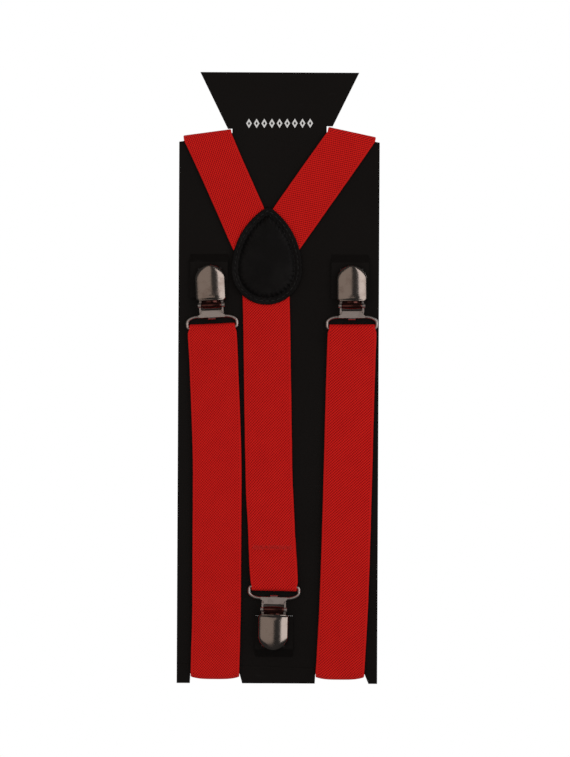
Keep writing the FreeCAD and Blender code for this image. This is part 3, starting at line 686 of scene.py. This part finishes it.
def front_webbing(name, side, seed):
    """Patch, over the shoulder, down the back, up the front, through the bail and back down inside."""
    fold_x, fold_z = side["fold"]
    tilt = side["fold_tilt"]
    patch_x, patch_z = side["to_patch"]
    share = 0.22
    neck_x = fold_x + share * (patch_x - fold_x)
    neck_z = fold_z + share * (patch_z - fold_z)
    fold_out = edge_pair(fold_x, -PATCH_LAYER_Y, fold_z, side["fold_length"], tilt)
    neck = edge_pair(neck_x, -PATCH_LAYER_Y, neck_z, DIAGONAL_WIDTH, side["diagonal"])
    end = edge_pair(patch_x, -PATCH_LAYER_Y, patch_z, DIAGONAL_WIDTH, side["diagonal"])
    route = glide([end, neck, fold_out])
    route += turned(fold_out, 0, -180, tilt)
    back = [
        route[-1],
        edge_pair(back_x(side, -60.0), PATCH_LAYER_Y, -60.0, STRAP_WIDTH),
        edge_pair(back_x(side, -102.0), ADJUSTER_LAYER_Y, -102.0, STRAP_WIDTH),
        edge_pair(back_x(side, -228.0), ADJUSTER_LAYER_Y, -228.0, STRAP_WIDTH),
        edge_pair(back_x(side, -252.0), OUTER_LAYER_Y, -252.0, STRAP_WIDTH),
        edge_pair(side["bottom_x"], OUTER_LAYER_Y, NOTCH_Z, STRAP_WIDTH),
    ]
    route += glide(back)[1:]
    route += turned(back[-1], 0, -180)
    bail_x, bail_z = side["bail"]
    lean = side["lean"]
    up = [route[-1]]
    up += [edge_pair(x, -OUTER_LAYER_Y, z, STRAP_WIDTH) for x, z in side["front"]]
    up += [edge_pair(bail_x, BAIL_Y - LOOP_MID_R, bail_z - 2.2, STRAP_WIDTH, lean)]
    up += [edge_pair(bail_x, BAIL_Y - LOOP_MID_R, bail_z, LOOP_WIDTH, lean)]
    route += glide(up)[1:]
    route += turned(up[-1], BAIL_Y, -180, lean)
    down = [route[-1]]
    down += [edge_pair(bail_x, -INNER_LAYER_Y, bail_z - 2.2, STRAP_WIDTH, lean)]
    down += [edge_pair(x, -INNER_LAYER_Y, z, STRAP_WIDTH) for x, z in reversed(side["front"])]
    down += [edge_pair(side["bottom_x"], -INNER_LAYER_Y, NOTCH_Z, STRAP_WIDTH)]
    route += glide(down)[1:]
    route += turned(down[-1], 0, 180)
    start = edge_pair(back_x(side, TAIL_START_Z), INNER_LAYER_Y, TAIL_START_Z, STRAP_WIDTH)
    route += glide([route[-1], start])[1:]
    piece = webbing(name + "_webbing", route, seed)
    left = fold_x < 0
    trim(piece, STRAP_JOIN_X - 0.05 if left else STRAP_JOIN_X + 0.05, left)
    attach(piece, "card_and_straps")
    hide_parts(name + "_strap")
    return piece


def webbing_tail(name, side, seed):
    """The strap's last stretch up the back, round the adjuster's bar and sewn down on itself."""
    bar_x = back_x(side, ADJ_Z)
    tilt = back_tilt(side)
    width = STRAP_WIDTH - 0.6
    start = edge_pair(back_x(side, TAIL_START_Z), INNER_LAYER_Y, TAIL_START_Z, STRAP_WIDTH)
    up = edge_pair(bar_x, ADJ_Y - TAIL_LOOP_R, ADJ_Z, width, tilt)
    route = glide([start, up])
    route += turned(up, ADJ_Y, -180, tilt)
    sewn = [
        route[-1],
        edge_pair(back_x(side, ADJ_Z - 7), OUTER_LAYER_Y, ADJ_Z - 7, width, tilt),
        edge_pair(back_x(side, ADJ_Z - 20), OUTER_LAYER_Y, ADJ_Z - 20, width, tilt),
    ]
    route += glide(sewn, 2.0)[1:]
    piece = webbing(name + "_webbing_tail", route, seed)
    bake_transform(piece)
    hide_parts(name + "_strap_tail")
    return piece


def back_webbing(seed):
    """The centre strap: sewn end, round the lower bail and up the front to the patch."""
    x, z = BOTTOM["bail"]
    lean = BOTTOM["lean"] - 180
    loop = LOOP_WIDTH - 0.2
    down = [
        edge_pair(-2.8, -INNER_LAYER_Y, -226.0, BACK_STRAP_WIDTH),
        edge_pair(x, -INNER_LAYER_Y, z + 2.2, BACK_STRAP_WIDTH, lean),
        edge_pair(x, BAIL_Y + LOOP_MID_R, z, loop, lean),
    ]
    route = glide(down)
    route += turned(down[-1], BAIL_Y, -180, lean)
    up = [
        route[-1],
        edge_pair(x, BAIL_Y - LOOP_MID_R, z + 2.2, BACK_STRAP_WIDTH, lean),
        edge_pair(-2.6, -OUTER_LAYER_Y, -234.0, BACK_STRAP_WIDTH),
        edge_pair(-3.2, -OUTER_LAYER_Y, -220.0, BACK_STRAP_WIDTH),
        edge_pair(-4.4, -PATCH_LAYER_Y, -197.0, BACK_STRAP_WIDTH),
        edge_pair(-6.0, -PATCH_LAYER_Y, -122.0, BACK_STRAP_WIDTH),
        edge_pair(-6.9, -PATCH_LAYER_Y, STRAP_JOIN_Z - 0.3, BACK_STRAP_WIDTH),
    ]
    route += glide(up)[1:]
    piece = webbing("back_webbing", route, seed)
    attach(piece, "card_and_straps")
    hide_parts("back_strap")
    return piece


def bar_tack(name, node, body, centre, width, outward, tilt):
    """A sewn bar: a dense zigzag of thread across the webbing."""
    turn = Matrix.Rotation(math.radians(-tilt), 3, "Y")
    middle = Vector(centre)
    count = 22
    high = 1.35
    thread_r = 0.11
    parts = []
    path = []
    for i in range(count * 2 + 1):
        x = (i / (count * 2) - 0.5) * width
        z = high if i % 2 else -high
        path.append(middle + turn @ Vector((x, outward * 0.03, z)))
    for first, second in zip(path, path[1:]):
        arch = (first + second) / 2 + Vector((0, outward * 0.12, 0))
        line = []
        for k in range(5):
            t = k / 4
            line.append(first * (1 - t) ** 2 + arch * 2 * t * (1 - t) + second * t ** 2)
        parts.append(tube(line, thread_r, 6))
    piece = new_piece(name, *join_bodies(parts), RED_THREAD)
    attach(piece, body)
    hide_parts(node)
    return piece


# ---------------------------------------------------------------- leather patch


def drop_ring(inset, samples):
    """Points round the teardrop, set in by a margin, evenly spaced from the foot's right end."""
    foot_r = PATCH_R - inset
    side_r = PATCH_SIDE_R - inset
    tip_r = PATCH_TIP_R - inset
    centre = PATCH_SIDE_R - PATCH_R
    if tip_r > 0.05:
        tip_z = PATCH_TIP_RISE
        side_turn = math.atan2(PATCH_TIP_RISE, centre)
    else:
        tip_z = math.sqrt(max(side_r ** 2 - centre ** 2, 0.0))
        side_turn = math.acos(min(centre / side_r, 1.0))
        tip_r = 0.0
    tip_turn = math.pi / 2 - side_turn
    segments = [(side_turn * side_r, "right"), (2 * tip_turn * tip_r, "tip"), (side_turn * side_r, "left")]
    segments.append((math.pi * foot_r, "foot"))
    total = sum(length for length, _ in segments)
    points = []
    for i in range(samples):
        run = total * i / samples
        for length, kind in segments:
            if run <= length:
                break
            run -= length
        if kind == "right":
            angle = run / side_r
            points.append((side_r * math.cos(angle) - centre, side_r * math.sin(angle)))
        elif kind == "tip":
            angle = side_turn + run / max(tip_r, 1e-6)
            points.append((tip_r * math.cos(angle), tip_z + tip_r * math.sin(angle)))
        elif kind == "left":
            angle = side_turn - run / side_r
            points.append((centre - side_r * math.cos(angle), side_r * math.sin(angle)))
        else:
            angle = math.pi + run / foot_r
            points.append((foot_r * math.cos(angle), foot_r * math.sin(angle)))
    return points


def on_patch(x, y, z):
    """A point given from the patch's centre, in the frame."""
    turn = Matrix.Rotation(math.radians(PATCH_LEAN), 3, "Y")
    return turn @ Vector((x, y, z)) + Vector((PATCH_AT[0], 0, PATCH_AT[1]))


def leather_plate(name, node, y):
    """A plain cut of leather with softened edges: the patch's back layer."""
    samples = STITCHES * 4
    front, back = y
    rings = [(0.25, back), (0.05, back - 0.12), (0.0, back - 0.42)]
    rings += [(0.06, front + 0.12), (0.3, front), (9.0, front)]
    verts = []
    for inset, depth in rings:
        verts += [on_patch(px, depth, pz) for px, pz in drop_ring(inset, samples)]
    faces = ring_quads(len(rings), samples)
    faces.append(tuple(range((len(rings) - 1) * samples, len(rings) * samples)))
    faces.append(tuple(reversed(range(samples))))
    piece = new_piece(name, verts, faces, LEATHER)
    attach(piece, "card_and_straps")
    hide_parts(node)
    return piece


def crown_height(depth_in, share, phase):
    """How far the padded leather stands out: a steep wall inside the seam, puckered by the stitches."""
    wall = math.sin(min(depth_in / 3.0, 1.0) * math.pi / 2) ** 0.8
    pucker = 0.16 * math.cos(phase) * math.exp(-((depth_in - 0.9) / 0.8) ** 2)
    return (0.70 * wall + 0.30 * (1 - share ** 2)) + pucker


def padded_front():
    """The front leather: flat border, seam groove and padded crown, then inflated as cloth."""
    samples = STITCHES * POINTS_PER_STITCH
    face_y = PATCH_FRONT_Y[0]
    peak = CROWN_PEAK_Y - face_y
    border = [
        (0.30, PATCH_FRONT_Y[1]),
        (0.05, PATCH_FRONT_Y[1] - 0.12),
        (0.0, PATCH_FRONT_Y[1] - 0.42),
        (0.05, face_y + 0.16),
        (0.30, face_y + 0.02),
        (0.8, face_y),
        (1.35, face_y + 0.02),
        (1.9, face_y + 0.12),
        (2.45, face_y + 0.04),
        (2.85, face_y + 0.10),
        (BORDER, face_y + 0.26),
    ]
    verts = []
    for row, (inset, depth) in enumerate(border):
        for k, (px, pz) in enumerate(drop_ring(inset, samples)):
            phase = 2 * math.pi * k / POINTS_PER_STITCH
            dip = 0.10 * (0.5 + 0.5 * math.cos(phase)) * math.exp(-((inset - STITCH_INSET) / 0.45) ** 2)
            verts.append(on_patch(px, depth + dip, pz))
    rim = drop_ring(BORDER, samples)
    centre = Vector((0.0, 1.5))
    shares = [0.985, 0.965, 0.94, 0.91, 0.87, 0.82, 0.76, 0.69, 0.61, 0.52, 0.42, 0.31, 0.19, 0.08]
    for share in shares:
        for k, (px, pz) in enumerate(rim):
            point = centre + (Vector((px, pz)) - centre) * share
            reach = (Vector((px, pz)) - centre).length * (1 - share)
            radial = (Vector((px, pz)) - centre).normalized()
            ahead = Vector(rim[(k + 1) % samples]) - Vector(rim[k - 1])
            square = abs(radial.x * ahead.y - radial.y * ahead.x) / max(ahead.length, 1e-6)
            phase = 2 * math.pi * k / POINTS_PER_STITCH
            height = crown_height(reach * square, share, phase)
            verts.append(on_patch(point.x, face_y + 0.26 * (1 - min(height, 1.0)) + peak * height, point.y))
    rows = len(border) + len(shares)
    faces = ring_quads(rows, samples)
    top = len(verts)
    verts.append(on_patch(centre.x, face_y + peak, centre.y))
    last = (rows - 1) * samples
    for k in range(samples):
        faces.append((last + k, top, last + (k + 1) % samples))
    faces.append(tuple(reversed(range(samples))))
    piece = new_piece("patch_padded_leather", verts, faces, LEATHER)
    inflate(piece, len(border) * samples)
    smooth = piece.modifiers.new("smooth", "SUBSURF")
    smooth.levels = 1
    smooth.render_levels = 1
    apply_modifiers(piece)
    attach(piece, "card_and_straps")
    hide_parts("patch_front", "patch_filler")
    return piece


def inflate(piece, pinned):
    """Blows the crown up as cloth, at forty times its size, with everything outside the seam held still."""
    scale = 40.0
    cap = 0.35 * MM
    rest = [v.co.copy() for v in piece.data.vertices]
    copy = bpy.data.objects.new("inflating", piece.data.copy())
    bpy.context.scene.collection.objects.link(copy)
    copy.data.transform(Matrix.Scale(scale, 4))
    held = copy.vertex_groups.new(name="held")
    held.add(list(range(pinned)), 1.0, "REPLACE")
    cloth = copy.modifiers.new("cloth", "CLOTH")
    settings = cloth.settings
    settings.quality = 6
    settings.mass = 0.4
    settings.tension_stiffness = 40
    settings.compression_stiffness = 40
    settings.shear_stiffness = 20
    settings.bending_stiffness = 8
    settings.vertex_group_mass = "held"
    settings.use_pressure = True
    settings.uniform_pressure_force = 4.0
    settings.effector_weights.gravity = 0.0
    cloth.point_cache.frame_start = 1
    cloth.point_cache.frame_end = 20
    scene = bpy.context.scene
    for step in range(1, 21):
        scene.frame_set(step)
    view = bpy.context.evaluated_depsgraph_get()
    moved = [v.co / scale for v in copy.evaluated_get(view).data.vertices]
    scene.frame_set(1)
    for vertex, start, end in zip(piece.data.vertices, rest, moved):
        shift = end - start
        if shift.length > cap:
            shift *= cap / shift.length
        vertex.co = start + shift
    bpy.data.objects.remove(copy)


def patch_stitches():
    """A row of lockstitches: short arched threads that dive into the leather at both ends."""
    samples = STITCHES * POINTS_PER_STITCH
    line = drop_ring(STITCH_INSET, samples)
    parts = []
    for i in range(STITCHES):
        path = []
        for k in range(5):
            px, pz = line[(i * POINTS_PER_STITCH + 1 + k) % samples]
            rise = math.sin(math.pi * k / 4)
            path.append(on_patch(px, PATCH_FRONT_Y[0] + 0.22 - 0.26 * rise, pz))
        parts.append(tube(path, [0.13, 0.21, 0.23, 0.21, 0.13], 8))
    piece = new_piece("patch_lockstitch", *join_bodies(parts), BLACK_THREAD)
    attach(piece, "card_and_straps")
    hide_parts("patch_stitching")
    return piece


# ---------------------------------------------------------------- clip covers


def cover_side(z, inset):
    """Half width of the cover at a height, inside its outline by a margin."""
    tip = COVER_TIP - inset
    foot = COVER_START + inset
    half = COVER_HALF - inset
    if z > COVER_TIP - COVER_ARC:
        rise = (z - (COVER_TIP - COVER_ARC)) / (tip - (COVER_TIP - COVER_ARC))
        return half * math.sqrt(max(1 - min(rise, 1.0) ** 2, 0.0))
    chamfer = COVER_CHAMFER - inset / 2
    if z < foot + chamfer:
        share = max((z - foot) / chamfer, 0.0)
        return half - chamfer * (1 - math.sin(share * math.pi / 2))
    return half


def cover_surface(x, z):
    """The pressed front of the cover: a crown, slanting flats at the tip, a beaded foot and a dent."""
    radius = (COVER_HALF ** 2 + COVER_SAG ** 2) / (2 * COVER_SAG)
    y = COVER_PEAK_Y + radius - math.sqrt(radius ** 2 - x ** 2)
    if z > TIP_BEND_START:
        share = (z - TIP_BEND_START) / (COVER_TIP + 3 - TIP_BEND_START)
        y += TIP_DROP * share ** 2
    slant = SLANT_RISE * (z - SLANT_FROM_Z) + SLANT_SPREAD * abs(x) - SLANT_DELAY
    y += 0.5 * (slant + math.sqrt(slant ** 2 + 0.02))
    y -= BEAD_HIGH * math.exp(-(((z - BEAD_Z) / BEAD_WIDE) ** 2))
    y += DENT_DEEP * math.exp(-((x / DENT_HALF) ** 2) - ((z - DENT_Z) / DENT_HIGH) ** 2)
    return y


def cover_ring(inset, samples):
    """Points round the cover, set in by a margin, clockwise from the foot's middle."""
    points = []
    low = COVER_START + inset
    high = COVER_TIP - inset
    right = []
    for i in range(samples):
        share = i / (samples - 1)
        z = low + (high - low) * (1 - math.cos(math.pi * share)) / 2
        right.append((cover_side(z, inset), z))
    foot_half = right[0][0]
    steps = 10
    for i in range(steps):
        points.append((foot_half * i / steps, low))
    points += right
    points += [(-x, z) for x, z in reversed(right[:-1])]
    for i in range(1, steps):
        points.append((-foot_half * (steps - i) / steps, low))
    return points


def cover_shell():
    """Points and faces of the thin pressed cover, in the clip's own frame."""
    samples = 34
    edge = 0.55
    spine_low = COVER_START + 4.5
    spine_high = COVER_TIP - 7.0
    outline = cover_ring(0.0, samples)
    inner_line = cover_ring(COVER_WALL, samples)
    size = len(outline)
    verts = []

    def toward(point, share):
        """A point on the way from the cover's long spine to its outline."""
        heart = (0.0, min(max(point[1], spine_low), spine_high))
        return tuple(h + (p - h) * share for h, p in zip(heart, point))

    inner_shares = [0.0, 0.2, 0.4, 0.6, 0.78, 0.90, 0.97, 1.0]
    for share in inner_shares:
        for point in inner_line:
            x, z = toward(point, share)
            verts.append(Vector((x, cover_surface(x, z) + COVER_WALL, z)))
    rims = [(inner_line, COVER_RIM_Y), (outline, COVER_RIM_Y)]
    for line, y in rims:
        verts += [Vector((x, y, z)) for x, z in line]
    turn = 5
    for k in range(turn + 1):
        angle = math.pi / 2 * k / turn
        reach = edge * (1 - math.sin(math.pi / 2 - angle)) if k else 0.0
        drop = edge * (1 - math.sin(angle))
        for x, z in outline:
            long = max(math.hypot(x, z - min(max(z, spine_low), spine_high)), 1e-6)
            px, pz = toward((x, z), 1 - reach / long)
            verts.append(Vector((px, cover_surface(px, pz) + drop, pz)))
    outer_shares = [0.84, 0.76, 0.67, 0.57, 0.46, 0.35, 0.24, 0.12, 0.0]
    for share in outer_shares:
        for point in outline:
            x, z = toward(point, share)
            verts.append(Vector((x, cover_surface(x, z), z)))
    return verts, ring_quads(len(verts) // size, size)


def rolled_foot():
    """Points and faces of the lever's bored barrel round the pin, and of the strip that joins it."""
    sides = 32
    columns = 14
    verts = []
    stations = [(-ROLL_HALF, ROLL_BORE), (-ROLL_HALF, ROLL_END_R - ROLL_EDGE)]
    for i in range(columns + 1):
        x = -ROLL_HALF + 0.1 + (2 * ROLL_HALF - 0.2) * i / columns
        stations.append((x, ROLL_R - (ROLL_R - ROLL_END_R) * (x / ROLL_HALF) ** 2))
    stations += [(ROLL_HALF, ROLL_END_R - ROLL_EDGE), (ROLL_HALF, ROLL_BORE)]
    for x, radius in stations:
        for k in range(sides):
            angle = 2 * math.pi * k / sides
            verts.append(Vector((x, PIN_Y + radius * math.cos(angle), PIN_Z + radius * math.sin(angle))))
    faces = []
    rows = len(stations)
    for i in range(rows):
        j = (i + 1) % rows
        for k in range(sides):
            m = (k + 1) % sides
            faces.append((i * sides + k, i * sides + m, j * sides + m, j * sides + k))
    strip = []
    strip_t = 0.8
    path = [(PIN_Y - 0.95, PIN_Z + 1.0), (PIN_Y - 0.75, PIN_Z + 1.7), (PIN_Y - 0.45, COVER_START + 0.5)]
    for y, z in path:
        for x in (-ROLL_HALF + 0.3, ROLL_HALF - 0.3):
            strip += [Vector((x, y, z)), Vector((x, y + strip_t, z))]
    quads = []
    for i in range(len(path) - 1):
        a = i * 4
        b = a + 4
        quads += [(a, b, b + 2, a + 2), (a + 1, a + 3, b + 3, b + 1)]
        quads += [(a, a + 1, b + 1, b), (a + 2, b + 2, b + 3, a + 3)]
    return join_bodies([(verts, faces), (strip, quads)])


def lever_piece(label, body, place, shape, material):
    """One smooth visual piece of a clip's lever."""
    verts, faces = shape
    piece = new_piece(label, [place @ v for v in verts], faces, material)
    mesh = bmesh.new()
    mesh.from_mesh(piece.data)
    bmesh.ops.remove_doubles(mesh, verts=mesh.verts[:], dist=0.004 * MM)
    bmesh.ops.recalc_face_normals(mesh, faces=mesh.faces[:])
    mesh.to_mesh(piece.data)
    mesh.free()
    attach(piece, body)
    return piece


def clip_cover(name, clip):
    """The lever of one clip: its pressed cover, and the rolled foot with the strip that joins them."""
    x, z = clip["bail"]
    place = Matrix.Translation((x, BAIL_Y, z)) @ Matrix.Rotation(math.radians(-clip["lean"]), 4, "Y")
    place = place @ Matrix.Translation((0, 0, BAIL_HEIGHT))
    cover = lever_piece(name + "_pressed_cover", name + "_lever", place, cover_shell(), COVER)
    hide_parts(name + "_clip_lever")
    lever_piece(name + "_rolled_foot", name + "_lever", place, rolled_foot(), ROLL)


# ---------------------------------------------------------------- card print


def ornament():
    """The print on the header: a plain row of lozenges where the lettering would be."""
    count = 9
    pitch = 3.9
    half_w = 1.45
    half_h = 2.4
    hollow = 0.42
    verts = []
    faces = []
    for i in range(count):
        x = (i - (count - 1) / 2) * pitch
        z = PRINT_Z + x * 0.008
        base = len(verts)
        for size in (1.0, hollow):
            for px, pz in ((-half_w, 0), (0, -half_h), (half_w, 0), (0, half_h)):
                verts.append((x + px * size, PRINT_Y, z + pz * size))
        for k in range(4):
            j = (k + 1) % 4
            faces.append((base + k, base + j, base + 4 + j, base + 4 + k))
    piece = new_piece("header_ornament", verts, faces, INK, smooth=False)
    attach(piece, "card_and_straps")
    return piece


# ---------------------------------------------------------------- CAD nodes that stay


def soften(node, width, segments=3, angle=35):
    """Rounds a CAD node's edges for the picture."""
    bevel = NODES[node].modifiers.new("edge", "BEVEL")
    bevel.width = width * MM
    bevel.segments = segments
    bevel.limit_method = "ANGLE"
    bevel.angle_limit = math.radians(angle)
    bevel.harden_normals = False


def close_slits(node):
    """Fattens a card piece by a tenth of a millimetre a side, so that its knife cuts look closed."""
    joined = NODES[node].modifiers.new("joined_corners", "WELD")
    joined.merge_threshold = 0.01 * MM
    swell = NODES[node].modifiers.new("closed_cuts", "DISPLACE")
    swell.strength = CUT_SWELL * MM
    swell.mid_level = 0.0


def finish_node(node, material):
    """Gives a CAD node that stays its material."""
    piece = NODES[node]
    piece.data.materials.clear()
    piece.data.materials.append(material)


for node in NODES:
    if node == "card" or node.endswith("_tab") or node == "hang_flap":
        finish_node(node, CARD)
        close_slits(node)
    elif node.endswith("_clip_pad"):
        finish_node(node, PLASTIC)
        soften(node, 0.12, 2)
    elif node.endswith("_clip_jaw"):
        finish_node(node, JAW)
        soften(node, 0.14)
    elif node.endswith(("_bail", "_clip_base", "_clip_pin")) or "adjuster" in node:
        finish_node(node, STEEL)
        if node.endswith(("_clip_base", "_adjuster_frame", "_adjuster_lever")):
            soften(node, 0.14)

for index, (name, side) in enumerate(SIDES.items()):
    front_webbing(name, side, 11.0 + index * 7)
    webbing_tail(name, side, 31.0 + index * 7)
    sewn_at = (back_x(side, ADJ_Z - 14), OUTER_LAYER_Y + STRAP_T / 2, ADJ_Z - 14)
    tilt = back_tilt(side)
    bar_tack(name + "_end_stitching", name + "_end_tack", name + "_adjuster", sewn_at, 21.0, 1, tilt)
back_webbing(53.0)
front_of_strap = (-2.75, -OUTER_LAYER_Y - STRAP_T / 2, -231.0)
bar_tack("back_strap_stitching", "back_strap_tack", "card_and_straps", front_of_strap, 20.0, -1, 0.0)
leather_plate("patch_back_leather", "patch_back", PATCH_BACK_Y)
padded_front()
patch_stitches()
ornament()
for name, clip in CLIPS.items():
    clip_cover(name, clip)


# ---------------------------------------------------------------- floor, light and camera

OBJECT_MIDDLE_Z = -0.145
WHITE_SEEN = 1.0
WHITE_MIRRORED = 0.035
WHITE_FILL = 0.77
SENSOR_HEIGHT = 36.0
CAMERA_DISTANCE = 3.0
VIEW_HEIGHT = 0.38607
CAMERA_X = 0.0034
CAMERA_Z = -0.1449
CAMERA_ROLL = -0.28


def floor():
    """A plain pale floor well below the object, which the metal does not mirror."""
    half = 0.8
    z = -0.40
    corners = [(-half, -half, z), (half, -half, z), (half, half, z), (-half, half, z)]
    mesh = bpy.data.meshes.new("floor")
    mesh.from_pydata(corners, [], [(0, 1, 2, 3)])
    piece = bpy.data.objects.new("floor", mesh)
    bpy.context.scene.collection.objects.link(piece)
    s = Shader("floor_paint")
    s.principled(Base_Color=(0.80, 0.80, 0.79), Roughness=0.9)
    mesh.materials.append(s.material)
    piece.visible_glossy = False


def area_light(name, azimuth, elevation, distance, size, power, colour=(1, 1, 1)):
    """A soft panel facing the object; azimuth 0 is in front, positive to the right."""
    target = Vector((0, 0, OBJECT_MIDDLE_Z))
    a = math.radians(azimuth)
    e = math.radians(elevation)
    away = Vector((math.sin(a) * math.cos(e), -math.cos(a) * math.cos(e), math.sin(e)))
    lamp = bpy.data.lights.new(name, "AREA")
    lamp.shape = "RECTANGLE"
    lamp.size, lamp.size_y = size
    lamp.energy = power
    lamp.color = colour
    light = bpy.data.objects.new(name, lamp)
    light.location = target + away * distance
    light.rotation_euler = (-away).to_track_quat("-Z", "Y").to_euler()
    light.visible_camera = False
    bpy.context.scene.collection.objects.link(light)
    return light


def world():
    """White behind the object, an even soft fill on it, and little for the metal to mirror."""
    scene = bpy.context.scene
    scene.world = bpy.data.worlds.new("studio")
    scene.world.use_nodes = True
    tree = scene.world.node_tree
    tree.nodes.clear()
    path = tree.nodes.new("ShaderNodeLightPath")
    shades = []
    for strength in (WHITE_SEEN, WHITE_MIRRORED, WHITE_FILL):
        shade = tree.nodes.new("ShaderNodeBackground")
        shade.inputs["Color"].default_value = (1, 1, 1, 1)
        shade.inputs["Strength"].default_value = strength
        shades.append(shade.outputs[0])
    seen, mirrored, fill = shades
    first = tree.nodes.new("ShaderNodeMixShader")
    second = tree.nodes.new("ShaderNodeMixShader")
    output = tree.nodes.new("ShaderNodeOutputWorld")
    tree.links.new(path.outputs["Is Glossy Ray"], first.inputs[0])
    tree.links.new(fill, first.inputs[1])
    tree.links.new(mirrored, first.inputs[2])
    tree.links.new(path.outputs["Is Camera Ray"], second.inputs[0])
    tree.links.new(first.outputs[0], second.inputs[1])
    tree.links.new(seen, second.inputs[2])
    tree.links.new(second.outputs[0], output.inputs["Surface"])


def camera():
    """Straight on from the front, far off with a long lens, tipped by a fraction of a degree."""
    lens = bpy.data.cameras.new("camera")
    lens.sensor_fit = "VERTICAL"
    lens.sensor_height = SENSOR_HEIGHT
    lens.lens = SENSOR_HEIGHT * CAMERA_DISTANCE / VIEW_HEIGHT
    lens.clip_start = 0.05
    lens.clip_end = 20.0
    eye = bpy.data.objects.new("camera", lens)
    eye.location = (CAMERA_X, -CAMERA_DISTANCE, CAMERA_Z)
    eye.rotation_euler = (math.radians(90), math.radians(CAMERA_ROLL), 0)
    bpy.context.scene.collection.objects.link(eye)
    bpy.context.scene.camera = eye


floor()
world()
area_light("left_softbox", -24, 4, 1.5, (1.45, 1.5), 2.1, (1.0, 0.83, 0.73))
area_light("right_softbox", 44, 6, 1.5, (0.95, 1.5), 4.7, (1.0, 0.93, 0.91))
area_light("back_left", -150, 20, 1.4, (0.9, 0.9), 3.0)
area_light("back_right", 140, 25, 1.4, (0.9, 0.9), 3.0)
camera()
scene = bpy.context.scene
scene.view_settings.view_transform = "Standard"
scene.view_settings.look = "None"
